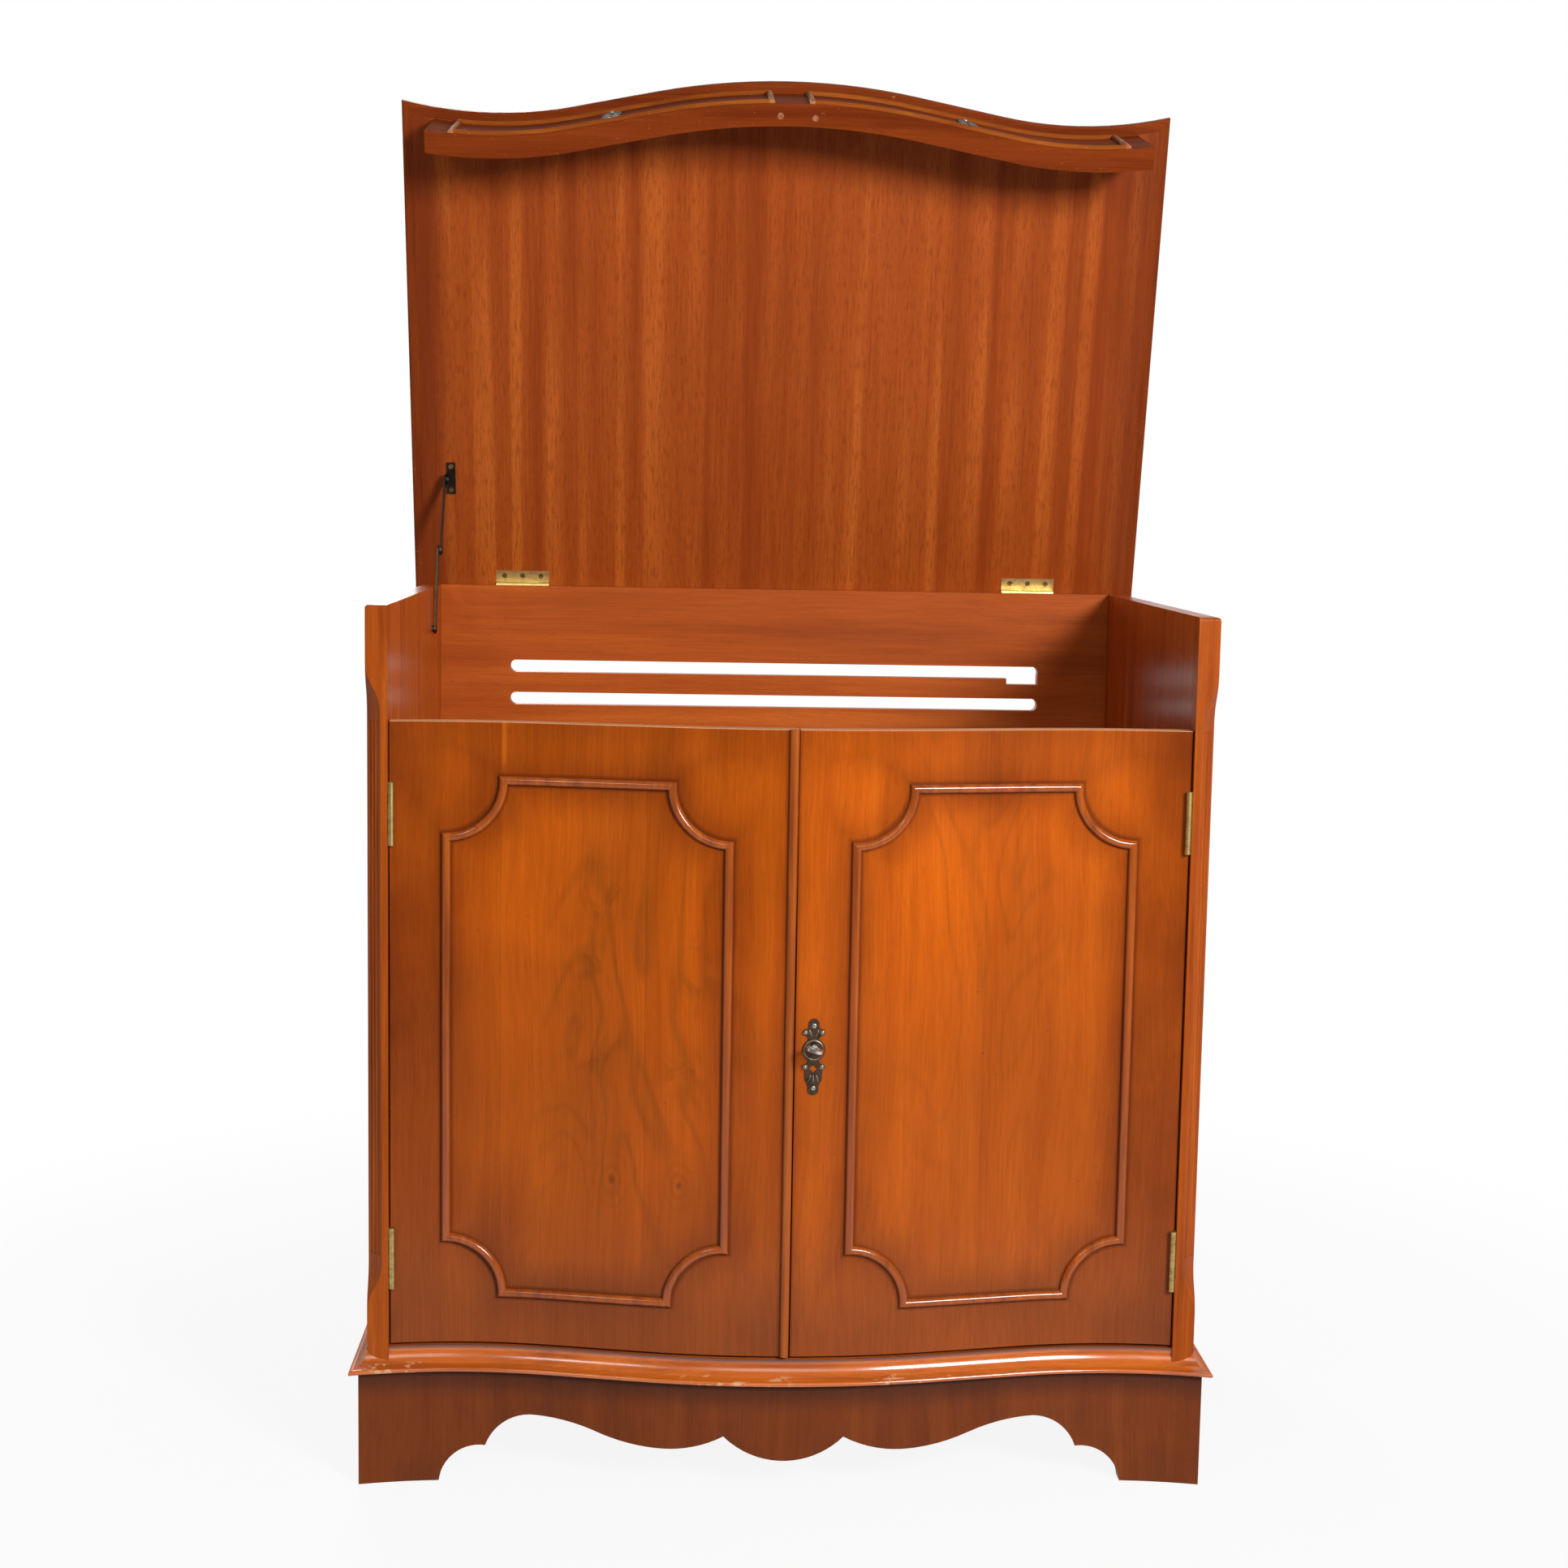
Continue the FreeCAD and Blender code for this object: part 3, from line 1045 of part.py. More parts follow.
bracket_plate = box((lug_plane, lug_plane + BRACKET_WIDTH), about(lid_pivot_y, BRACKET_LENGTH),
                    (LID_FOOT - BRACKET_THICKNESS, LID_FOOT))
lug_x = (lug_plane, lug_plane + BRACKET_THICKNESS)
lug = [box(lug_x, about(lid_pivot_y, ARM_WIDTH), (lid_pivot_z, LID_FOOT)),
       rod(ARM_WIDTH / 2, vec(lug_plane, lid_pivot_y, lid_pivot_z), RIGHT, BRACKET_THICKNESS)]
bracket_spots = [vec(lug_plane + BRACKET_WIDTH / 2, y, LID_FOOT - BRACKET_THICKNESS)
                 for y in about(lid_pivot_y, BRACKET_LENGTH - 2 * BRACKET_SCREW_INSET)]
bracket_screws, bracket_holes = screws_at(bracket_spots, UP)
rivet_start = vec(upper_plane - ARM_GAP / 2, lid_pivot_y, lid_pivot_z)
rivet_shank = rod(STAY_PIN, rivet_start, RIGHT, lug_x[1] - rivet_start.x)
stay_bracket = fused([bracket_plate] + lug).cut(bracket_holes + [rivet_shank])
rivet_head = vec(lug_x[1], lid_pivot_y, lid_pivot_z)
lid_rivet = fused([rivet_shank, rod(STAY_HEAD, rivet_head, RIGHT, STAY_HEAD_HEIGHT)])
lid_panel = lid_panel.cut(bracket_holes)
lid_screws += bracket_screws

# Nodes: the standing cabinet
for hand in ("left", "right"):
    keep("side_" + hand, sides[hand])
    keep("front_stile_" + hand, stiles[hand])
keep("back_panel", back_panel.cut(slots))
keep("bottom_board", bottom_board)
keep("base_moulding_front", base_front)
keep("base_moulding_left", base_left)
keep("base_moulding_right", base_right)
keep("plinth_front", plinth_front)
keep("plinth_left", mirrored(plinth_side))
keep("plinth_right", plinth_side)
keep("plinth_back", plinth_back)
keep("plinth_corner_blocks", *blocks)
keep("hinge_pins", *hinge_pins)
keep("frame_hinge_screws", *frame_screws)
keep("bolt_keep", bolt_keep)
keep("stay_side_screw", stay_screw)

# Nodes: doors with lock and bolt
keep("door_left", doors["left"])
keep("door_left_moulding", *left_moulding)
keep("meeting_bead", meeting_bead)
keep("lock_strike", strike)
keep("leaf_bolt_plate", leaf_bolt_plate)
keep("door_left_screws", *door_screws["left"])
keep("leaf_bolt_rod", leaf_bolt_rod)
keep("door_right", doors["right"])
keep("door_right_moulding", *right_moulding)
keep("escutcheon", door_plate)
keep("escutcheon_pins", *plate_pins)
keep("lock_case", lock_case)
keep("door_right_screws", *door_screws["right"])
keep("lock_bolt", lock_bolt)
keep("key", key)

# Nodes: lid with its rail and stay
keep_on_lid("lid_panel", lid_panel)
for name, lipping in zip(("front", "left", "right"), lippings):
    keep_on_lid("lid_lipping_" + name, lipping)
keep_on_lid("fascia_rail", fascia_rail)
keep_on_lid("drawer_moulding_left", *drawer_left)
keep_on_lid("drawer_moulding_right", *drawer_right)
keep_on_lid("drawer_escutcheons", *drawer_plates)
keep_on_lid("drawer_plate_pins", *drawer_pins)
keep_on_lid("stay_bracket", stay_bracket)
keep_on_lid("stay_lid_rivet", lid_rivet)
keep_on_lid("lid_screws", *lid_screws)
keep("stay_upper_arm", stay_upper)
keep("stay_elbow_rivet", elbow_rivet)
keep("stay_lower_arm", stay_lower)

# Origin under the middle of the piece as it stands, from the key's bow to the open lid's edge
lid_rear = turned(LID_REAR, lid_top)[0]
origin_y = (key_front + lid_rear) / 2
os.makedirs("parts", exist_ok=True)
for name, shape in nodes.items():
    shape.translate(FRONT * origin_y)
    shape.exportStep("parts/%s.step" % name)
print(len(nodes), "nodes; the origin lies", round(origin_y, 4), "behind the side fronts")
print("door hinge axis", round(axis_x, 4), round(axis_y - origin_y, 4))
print("lid hinge axis", round(LID_AXIS_Y - origin_y, 4), LID_AXIS_Z)
print("stay pivots", [round(value, 3) for value in (*lower, *elbow, *upper)], "arm", round(arm_length, 3))
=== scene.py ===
# %% [markdown]
# A television cabinet in yew veneer, dressed for its picture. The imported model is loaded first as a
# fixed frame: every board, moulding, hinge and key is already a solid of the right size in the
# right place. This lesson gives the solids their woods and metals, adds the small work of the
# bench, and sets up the studio.

# %% Load the frame
import json
import math

import bmesh
import bpy
from mathutils import Matrix, Vector


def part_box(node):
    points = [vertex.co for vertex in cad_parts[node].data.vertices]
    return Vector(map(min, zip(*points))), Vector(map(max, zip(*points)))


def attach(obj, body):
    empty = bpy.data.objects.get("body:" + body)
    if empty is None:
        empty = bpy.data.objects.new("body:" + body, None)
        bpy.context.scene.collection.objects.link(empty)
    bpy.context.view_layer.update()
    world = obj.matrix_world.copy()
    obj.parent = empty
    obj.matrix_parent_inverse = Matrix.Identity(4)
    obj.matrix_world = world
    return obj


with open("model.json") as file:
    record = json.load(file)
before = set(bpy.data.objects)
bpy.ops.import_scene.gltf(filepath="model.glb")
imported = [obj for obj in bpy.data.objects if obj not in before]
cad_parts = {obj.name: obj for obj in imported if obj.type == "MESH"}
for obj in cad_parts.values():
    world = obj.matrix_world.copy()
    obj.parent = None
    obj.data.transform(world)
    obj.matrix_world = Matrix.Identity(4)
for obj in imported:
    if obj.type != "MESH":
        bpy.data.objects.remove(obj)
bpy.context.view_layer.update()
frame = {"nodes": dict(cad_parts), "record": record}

nodes = frame["nodes"]

# %% [markdown]
# The camera stands where the photographer did, a little left of the middle and just above the open
# body, looking slightly down. Its place and angles come from matching the edges of the cabinet in
# the picture. It comes first, because two small marks are placed by where the picture shows them.

# %% Camera
CAMERA_PLACE = Vector((-0.110801, -2.679077, 1.022025))
CAMERA_YAW = math.radians(2.401)
CAMERA_PITCH = math.radians(6.840)
CAMERA_ROLL = math.radians(0.993)
CAMERA_LENS = 55.711
ahead = Vector((math.sin(CAMERA_YAW) * math.cos(CAMERA_PITCH),
                math.cos(CAMERA_YAW) * math.cos(CAMERA_PITCH),
                -math.sin(CAMERA_PITCH)))
level = Vector((math.cos(CAMERA_YAW), -math.sin(CAMERA_YAW), 0.0))
upright = level.cross(ahead)
right = math.cos(CAMERA_ROLL) * level + math.sin(CAMERA_ROLL) * upright
up = math.cos(CAMERA_ROLL) * upright - math.sin(CAMERA_ROLL) * level
camera = bpy.data.objects.new("camera", bpy.data.cameras.new("camera"))
camera.data.lens = CAMERA_LENS
camera.matrix_world = Matrix((right, up, -ahead)).transposed().to_4x4()
camera.location = CAMERA_PLACE
bpy.context.scene.collection.objects.link(camera)
bpy.context.scene.camera = camera
print("camera lens", CAMERA_LENS)

# %% [markdown]
# Every finish below is a tree of shader nodes. In the editor one places a node, types its values
# and draws the links by hand. These helpers do the same in one line each, so that a recipe reads
# like a sum.

# %% Helpers: nodes and sums
def node(tree, kind, sockets=(), **options):
    """A new node with its options set and its sockets linked or typed in."""
    made = tree.nodes.new(kind)
    for option, value in options.items():
        setattr(made, option, value)
    for name, value in dict(sockets).items():
        put(tree, value, made.inputs[name])
    return made


def put(tree, value, socket):
    """Links an output to a socket, or types a plain value into it."""
    if isinstance(value, bpy.types.NodeSocket):
        tree.links.new(value, socket)
    else:
        socket.default_value = value


def maths(tree, operation, *values):
    """The result of a Math node."""
    made = node(tree, "ShaderNodeMath", operation=operation)
    for value, socket in zip(values, made.inputs):
        put(tree, value, socket)
    return made.outputs[0]


def times(tree, first, second):
    """The product of two values."""
    return maths(tree, "MULTIPLY", first, second)


def gap(tree, first, second):
    """How far two values lie apart."""
    return maths(tree, "ABSOLUTE", maths(tree, "SUBTRACT", first, second))


def vectors(tree, operation, *values):
    """The result of a Vector Math node."""
    made = node(tree, "ShaderNodeVectorMath", operation=operation)
    for value, socket in zip(values, made.inputs):
        put(tree, value, socket)
    return made.outputs["Value" if operation == "LENGTH" else "Vector"]


def apart(tree, vector):
    """The three parts of a vector."""
    return node(tree, "ShaderNodeSeparateXYZ", {"Vector": vector}).outputs


print("helpers for nodes and sums ready")

# %% [markdown]
# A pattern becomes a mask by a smooth step, and a mask lays one colour over another, as a painter
# works with a stencil. Patterns in wood are long, so one helper draws a pattern out along the grain
# by shrinking its coordinates there. Below, a noise is named by its scale, detail, roughness and
# distortion, a speckle by its scale, low, high, detail and roughness, and a tint by its share and
# colour.

# %% Helpers: patterns and tints
FLAT = 0.0


def noise(tree, vector, scale, detail=2.0, roughness=0.5, distortion=0.0):
    """A cloudy value between 0 and 1."""
    made = node(tree, "ShaderNodeTexNoise", {"Vector": vector, "Scale": scale, "Detail": detail,
                                             "Roughness": roughness, "Distortion": distortion})
    return made.outputs["Fac"]


def drawn_out(tree, vector, share, depth=1.0):
    """Coordinates shrunk to a share along the grain; without depth a pattern goes straight through."""
    return vectors(tree, "MULTIPLY", vector, (1.0, depth, share))


def ramp(tree, value, low, high, to_low=0.0, to_high=1.0):
    """A smooth step of a value from one range to another."""
    made = node(tree, "ShaderNodeMapRange", {"Value": value, "From Min": low, "From Max": high,
                                             "To Min": to_low, "To Max": to_high},
                interpolation_type="SMOOTHSTEP")
    return made.outputs["Result"]


def speckle(tree, vector, scale, low, high, detail, roughness):
    """A mask of the patches where a noise rises from low to high."""
    return ramp(tree, noise(tree, vector, scale, detail, roughness), low, high)


def fade(tree, value, start, end):
    """A smooth step down: whole up to the start and nothing past the end."""
    return ramp(tree, value, start, end, 1.0, 0.0)


def mixed(tree, mask, first, second, blend="MIX"):
    """Two colours mixed by a mask."""
    made = node(tree, "ShaderNodeMix", data_type="RGBA", blend_type=blend)
    for value, place in ((mask, 0), (first, 6), (second, 7)):
        put(tree, value, made.inputs[place])
    return made.outputs[2]


def opaque(colour):
    """A colour with the full cover that a colour socket wants."""
    return colour + (1.0,)


def tinted(tree, tone, mask, share, colour):
    """A tone covered by a colour where the mask is, to a share."""
    return mixed(tree, times(tree, mask, share), tone, opaque(colour))


def shaded(tree, tone, shade):
    """A tone made darker or lighter by a factor."""
    return mixed(tree, 1.0, tone, shade, "MULTIPLY")


print("helpers for patterns and tints ready")

# %% [markdown]
# An effect that several finishes share is built once as a node group with named inputs and outputs,
# and set into each material with its own values.

# %% Helpers: node groups
NUMBER = "NodeSocketFloat"
VECTOR = "NodeSocketVector"


def new_group(name, inputs, outputs):
    """An empty shader node group with its sockets, and its input and output nodes."""
    tree = bpy.data.node_groups.new(name, "ShaderNodeTree")
    for label, kind, value in inputs:
        socket = tree.interface.new_socket(label, in_out="INPUT", socket_type=kind)
        if value is not None:
            socket.default_value = value
    for label, kind in outputs:
        tree.interface.new_socket(label, in_out="OUTPUT", socket_type=kind)
    given = tree.nodes.new("NodeGroupInput").outputs
    result = tree.nodes.new("NodeGroupOutput").inputs
    return tree, given, result


def placed(tree, group, sockets):
    """A node group set into a tree, with its sockets filled."""
    made = tree.nodes.new("ShaderNodeGroup")
    made.node_tree = group
    for name, value in sockets.items():
        put(tree, value, made.inputs[name])
    return made.outputs


print("helpers for groups ready")

# %% [markdown]
# Every wood here shares one anatomy. First come broad streaks of slower and faster growth, fine
# fibres, short flecks and soft clouds of colour. All are noise drawn out along the grain, and a
# slow wander bends them so that no line is ruled. The group takes a vector whose third part runs
# along the grain, so each board only has to turn its own coordinates.

# %% Wood anatomy group: grain
WANDER_SCALE = 3.2
STREAK_DRAW = 0.05
FIBRE_DRAW = 0.016
FIBRE_SCALE = 620.0
FLECK_DRAW = 0.1
FLECK_SCALE = 900.0
GRAIN_ROUGHNESS = 0.6
CLOUD_DRAW = 0.55
CLOUDS = (6.5, 3.0, 0.5, 0.3)

anatomy, given, result = new_group(
    "wood anatomy",
    [("Along grain", VECTOR, None), ("Streak scale", NUMBER, 30.0), ("Waver", NUMBER, 0.02)],
    [("Streaks", NUMBER), ("Fibres", NUMBER), ("Flecks", NUMBER), ("Rings", NUMBER), ("Pips", NUMBER),
     ("Clouds", NUMBER)])
wander = node(anatomy, "ShaderNodeTexNoise",
              {"Vector": given["Along grain"], "Scale": WANDER_SCALE, "Detail": 2.0})
centred = vectors(anatomy, "SUBTRACT", wander.outputs["Color"], (0.5, 0.5, 0.5))
pushed = node(anatomy, "ShaderNodeVectorMath", {"Vector": centred, "Scale": given["Waver"]},
              operation="SCALE")
wavy = vectors(anatomy, "ADD", given["Along grain"], pushed.outputs["Vector"])
for label, share, scale, detail in (("Streaks", STREAK_DRAW, given["Streak scale"], 4.0),
                                    ("Fibres", FIBRE_DRAW, FIBRE_SCALE, 2.0),
                                    ("Flecks", FLECK_DRAW, FLECK_SCALE, 2.0)):
    grain = noise(anatomy, drawn_out(anatomy, wavy, share), scale, detail, GRAIN_ROUGHNESS)
    put(anatomy, grain, result[label])
soft = drawn_out(anatomy, given["Along grain"], CLOUD_DRAW)
put(anatomy, noise(anatomy, soft, *CLOUDS), result["Clouds"])
print("grain of", anatomy.name, "with", len(anatomy.nodes), "nodes")

# %% [markdown]
# Two more marks finish the anatomy: the ring lines that show where a leaf of veneer grazes the
# growth rings, and the small dark pips that give yew away. The ring lines are the contours of a
# hilly noise, as on a map. The pips are the centres of a cell pattern, kept only in a few areas.

# %% Wood anatomy group: rings and pips
RING_DRAW = 0.3
RING_HILLS = (8.0, 1.5, 0.45, 0.6)
RING_COUNT = 22.0
RING_WIDTH = 0.4
PIP_SCALE = 55.0
PIP_SIZE = (0.03, 0.11)
PIP_AREAS = (9.0, 0.52, 0.62, 1.0, 0.5)

hills = noise(anatomy, drawn_out(anatomy, wavy, RING_DRAW), *RING_HILLS)
lines = maths(anatomy, "PINGPONG", times(anatomy, hills, RING_COUNT), 1.0)
put(anatomy, fade(anatomy, lines, 0.0, RING_WIDTH), result["Rings"])
dots = node(anatomy, "ShaderNodeTexVoronoi", {"Vector": given["Along grain"], "Scale": PIP_SCALE})
dot = fade(anatomy, dots.outputs["Distance"], *PIP_SIZE)
sparse = speckle(anatomy, given["Along grain"], *PIP_AREAS)
put(anatomy, times(anatomy, dot, sparse), result["Pips"])
print("group", anatomy.name, "with", len(anatomy.nodes), "nodes")

# %% [markdown]
# A knot is the foot of a small branch: a dark heart and a few tight rings about it, a little taller
# than wide. The group measures how far a point lies from the knot's centre across the face of the
# board, and a ripple keeps the rings from being true circles.

# %% Knot group
KNOT_SHAPE = (1.2, 0.0, 0.75)
KNOT_HEART = (0.35, 0.85)
KNOT_RINGS = 2.6
KNOT_RING_EDGE = (0.1, 0.9)
KNOT_FADE = (0.8, 3.2)
RIPPLE_SCALE = 90.0
RIPPLE_SHARE = 0.6

knot_marks, given, result = new_group(
    "knot", [("Position", VECTOR, None), ("Centre", VECTOR, None), ("Size", NUMBER, 0.01)],
    [("Heart", NUMBER), ("Rings", NUMBER)])
tree = knot_marks
away = vectors(tree, "SUBTRACT", given["Position"], given["Centre"])
away = vectors(tree, "MULTIPLY", away, KNOT_SHAPE)
ripple = times(tree, noise(tree, given["Position"], RIPPLE_SCALE), RIPPLE_SHARE)
reach = maths(tree, "DIVIDE", vectors(tree, "LENGTH", away), given["Size"])
reach = maths(tree, "ADD", reach, ripple)
put(tree, fade(tree, reach, *KNOT_HEART), result["Heart"])
rounds = ramp(tree, maths(tree, "PINGPONG", times(tree, reach, KNOT_RINGS), 1.0), *KNOT_RING_EDGE)
put(tree, times(tree, rounds, fade(tree, reach, *KNOT_FADE)), result["Rings"])
print("group", knot_marks.name, "with", len(knot_marks.nodes), "nodes")

# %% [markdown]
# The doors carry an applied moulding shaped as a rectangle with scooped corners. Stain was left
# darker along it, so the finish needs the distance from any point of the door to that moulding. A
# rectangle's distance is the larger of two differences, and a scooped corner takes a circle away
# from it. Both doors share the sum, because one is the mirror of the other.

# %% Distance to the door's moulding
PANEL_INNER = 0.059
PANEL_OUTER = 0.353
PANEL_FOOT = 0.195
PANEL_TOP = 0.735
PANEL_SCOOP = 0.058
panel_half = ((PANEL_OUTER - PANEL_INNER) / 2, (PANEL_TOP - PANEL_FOOT) / 2)
panel_mid = ((PANEL_OUTER + PANEL_INNER) / 2, (PANEL_TOP + PANEL_FOOT) / 2)

to_moulding, given, result = new_group("distance to moulding", [("Position", VECTOR, None)],
                                       [("Distance", NUMBER)])
tree = to_moulding
place = apart(tree, given["Position"])
across = gap(tree, maths(tree, "ABSOLUTE", place["X"]), panel_mid[0])
past_side = maths(tree, "SUBTRACT", across, panel_half[0])
past_end = maths(tree, "SUBTRACT", gap(tree, place["Z"], panel_mid[1]), panel_half[1])
squares = [maths(tree, "POWER", past, 2.0) for past in (past_side, past_end)]
to_corner = maths(tree, "SQRT", maths(tree, "ADD", *squares))
scoop = maths(tree, "SUBTRACT", PANEL_SCOOP, to_corner)
past = maths(tree, "MAXIMUM", past_side, past_end)
put(tree, maths(tree, "MAXIMUM", past, scoop), result["Distance"])
print("group", to_moulding.name, "with", len(to_moulding.nodes), "nodes")

# %% [markdown]
# A finish is a Principled shader over a grain. Gloss is how much the lacquer blurs what it mirrors,
# polish how strongly it mirrors. The coordinates are turned so that the grain runs along the third
# axis, and three tones, from the dark to the pale wood, follow the streaks.

# %% Helpers: wood finishes
NOISE_SPAN = (0.3, 0.7)
DARK_TO_MID = (0.3, 0.52)
MID_TO_PALE = (0.5, 0.74)
FIBRE_SHADES = (0.9, 1.06)
FIBRE_RELIEF = 0.12
FIBRE_DEPTH = 0.0002
GLOSS_DRIFT = (0.85, 1.2)
LID_LEAN = math.radians(14.5)
UPRIGHT = (0.0, 0.0, 0.0)
ALONG_LID = (-LID_LEAN, 0.0, 0.0)
ALONG_X = (0.0, math.radians(90.0), 0.0)
ALONG_Y = (math.radians(90.0), 0.0, 0.0)


def start_finish(name, gloss, polish=0.5):
    """A new material, with its tree, its shader and its object coordinates."""
    material = bpy.data.materials.new(name)
    material.use_nodes = True
    tree = material.node_tree
    shader = tree.nodes["Principled BSDF"]
    shader.inputs["Roughness"].default_value = gloss
    shader.inputs["Specular IOR Level"].default_value = polish
    return material, tree, shader, node(tree, "ShaderNodeTexCoord").outputs["Object"]


def along_grain(tree, where, turn):
    """Coordinates turned so that the grain runs along their third part."""
    return node(tree, "ShaderNodeMapping", {"Vector": where, "Rotation": turn}).outputs["Vector"]


def wood_marks(tree, grain, streak_scale, waver):
    """The wood anatomy along a grain, with streaks of a scale that waver by a measure."""
    return placed(tree, anatomy, {"Along grain": grain, "Streak scale": streak_scale, "Waver": waver})


def three_tones(tree, value, dark, mid, pale):
    """A tone that runs from dark through mid to pale with a value."""
    tone = mixed(tree, ramp(tree, value, *DARK_TO_MID), opaque(dark), opaque(mid))
    return mixed(tree, ramp(tree, value, *MID_TO_PALE), tone, opaque(pale))


def surface(tree, shader, tone, fibres, clouds, gloss):
    """The finished tone, the drift of its gloss and a shallow relief of fibres."""
    shade = ramp(tree, fibres, *NOISE_SPAN, *FIBRE_SHADES)
    put(tree, shaded(tree, tone, shade), shader.inputs["Base Color"])
    glosses = [gloss * share for share in GLOSS_DRIFT]
    put(tree, ramp(tree, clouds, *NOISE_SPAN, *glosses), shader.inputs["Roughness"])
    bump = node(tree, "ShaderNodeBump",
                {"Height": fibres, "Strength": FIBRE_RELIEF, "Distance": FIBRE_DEPTH})
    put(tree, bump.outputs["Normal"], shader.inputs["Normal"])


print("helpers for finishes ready")

# %% [markdown]
# The doors are the face of the cabinet: leaves of yew veneer with the grain upright, glowing orange
# in the middle of each panel. Veneer is laid in leaves side by side, each a little lighter or
# darker than the next, with a thin dark seam where two meet. One leaf of the left door shows a
# bright line of sapwood above the panel.

# %% Door veneer: leaves
DOOR_TONES = ((0.39, 0.069, 0.003), (0.442, 0.082, 0.0036), (0.493, 0.097, 0.0042))
DOOR_GLOSS = 0.3
DOOR_POLISH = 0.08
SHOW_STREAKS = 40.0
SHOW_WAVER = 0.03
RING_BROWN = (0.18, 0.042, 0.0035)
LEAF_JOINTS = ((-0.2935, 0.07), (-0.146, -0.06), (0.0, 0.1), (0.198, -0.06))
FIRST_LEAF = 0.88
SEAM_WIDTH = (0.0002, 0.0012)
SEAM_TINT = (0.3, RING_BROWN)
DRIFT_DRAW = 0.5
DRIFT = (8.0, 2.0, 0.5, 0.4)
DRIFT_SHADES = (0.87, 1.1)
SAP_LINE = -0.2904
SAP_WIDTH = (0.0005, 0.004)
SAP_RISE = 0.02
SAP_TINT = (0.7, (0.66, 0.15, 0.009))

door_yew, tree, shader, where = start_finish("door yew", DOOR_GLOSS, DOOR_POLISH)
wood = wood_marks(tree, along_grain(tree, where, UPRIGHT), SHOW_STREAKS, SHOW_WAVER)
tone = three_tones(tree, wood["Streaks"], *DOOR_TONES)
place = apart(tree, where)
leaf_shade = FIRST_LEAF
seam = 0.0
for joint, change in LEAF_JOINTS:
    past = maths(tree, "SUBTRACT", place["X"], joint)
    step = times(tree, maths(tree, "GREATER_THAN", past, 0.0), change)
    leaf_shade = maths(tree, "ADD", leaf_shade, step)
    seam = maths(tree, "MAXIMUM", seam, fade(tree, maths(tree, "ABSOLUTE", past), *SEAM_WIDTH))
tone = shaded(tree, tone, leaf_shade)
drift = noise(tree, drawn_out(tree, where, DRIFT_DRAW, FLAT), *DRIFT)
tone = shaded(tree, tone, ramp(tree, drift, *NOISE_SPAN, *DRIFT_SHADES))
tone = tinted(tree, tone, seam, *SEAM_TINT)
from_sap = gap(tree, place["X"], SAP_LINE)
above_panel = ramp(tree, place["Z"], PANEL_TOP, PANEL_TOP + SAP_RISE)
gleam = times(tree, fade(tree, from_sap, *SAP_WIDTH), above_panel)
tone = tinted(tree, tone, gleam, *SAP_TINT)
print(len(LEAF_JOINTS), "joints between the leaves of", door_yew.name)

# %% [markdown]
# Yew is prized for its figure. Ring lines and smoky clouds gather in the heart of each panel and
# fade towards its edges, a few curled smudges lie on the left door, and two small knots sit in its
# lower half. Each mark has a centre on the door's face and fades with the distance from it.

# %% Door veneer: figure
PIP_BROWN = (0.1, 0.018, 0.003)
FLECK_SPAN = (0.5, 0.75)
FIGURE_HEARTS = (((-0.155, 0.5), 1.0), ((0.19, 0.6), 0.55))
HEART_SHAPE = (1.0, 0.0, 0.36)
HEART_REACH = (0.03, 0.14)
HEART_REST = 0.08
RING_TINT = (0.45, RING_BROWN)
SMOKE_SPAN = (0.48, 0.7)
SMUDGES = ((-0.205, 0.556), (-0.192, 0.615), (-0.095, 0.535), (-0.107, 0.43), (-0.2, 0.46))
SMUDGE_SHAPE = (1.2, 0.0, 0.8)
SMUDGE_REACH = 0.042
SMUDGE_TINT = (0.75, RING_BROWN)
CURL_DRAW = 0.7
CURLS = (34.0, 3.0, 0.6, 1.2)
CURL_SPAN = (0.42, 0.66)
FLECK_TINT = (0.22, RING_BROWN)
PIP_TINT = (0.35, PIP_BROWN)
KNOTS = (((-0.179, 0.325), 0.013), ((-0.11, 0.322), 0.011))
KNOT_RING_TINT = (0.3, RING_BROWN)
KNOT_HEART_TINT = (0.55, PIP_BROWN)


def distance_from(tree, where, centre, shape):
    """How far a point lies from a centre on the door's face, with each direction weighed by the shape."""
    away = vectors(tree, "SUBTRACT", where, (centre[0], 0.0, centre[1]))
    return vectors(tree, "LENGTH", vectors(tree, "MULTIPLY", away, shape))


heart = 0.0
for centre, strength in FIGURE_HEARTS:
    near = ramp(tree, distance_from(tree, where, centre, HEART_SHAPE), *HEART_REACH, strength, HEART_REST)
    heart = maths(tree, "MAXIMUM", heart, near)
tone = tinted(tree, tone, times(tree, wood["Rings"], heart), *RING_TINT)
smoke = times(tree, ramp(tree, wood["Clouds"], *SMOKE_SPAN), heart)
tone = tinted(tree, tone, smoke, *RING_TINT)
curls = noise(tree, drawn_out(tree, where, CURL_DRAW, FLAT), *CURLS)
smudge = 0.0
for centre in SMUDGES:
    near = fade(tree, distance_from(tree, where, centre, SMUDGE_SHAPE), 0.0, SMUDGE_REACH)
    smudge = maths(tree, "MAXIMUM", smudge, near)
smudge = times(tree, smudge, ramp(tree, curls, *CURL_SPAN))
tone = tinted(tree, tone, smudge, *SMUDGE_TINT)
tone = tinted(tree, tone, ramp(tree, wood["Flecks"], *FLECK_SPAN), *FLECK_TINT)
tone = tinted(tree, tone, wood["Pips"], *PIP_TINT)
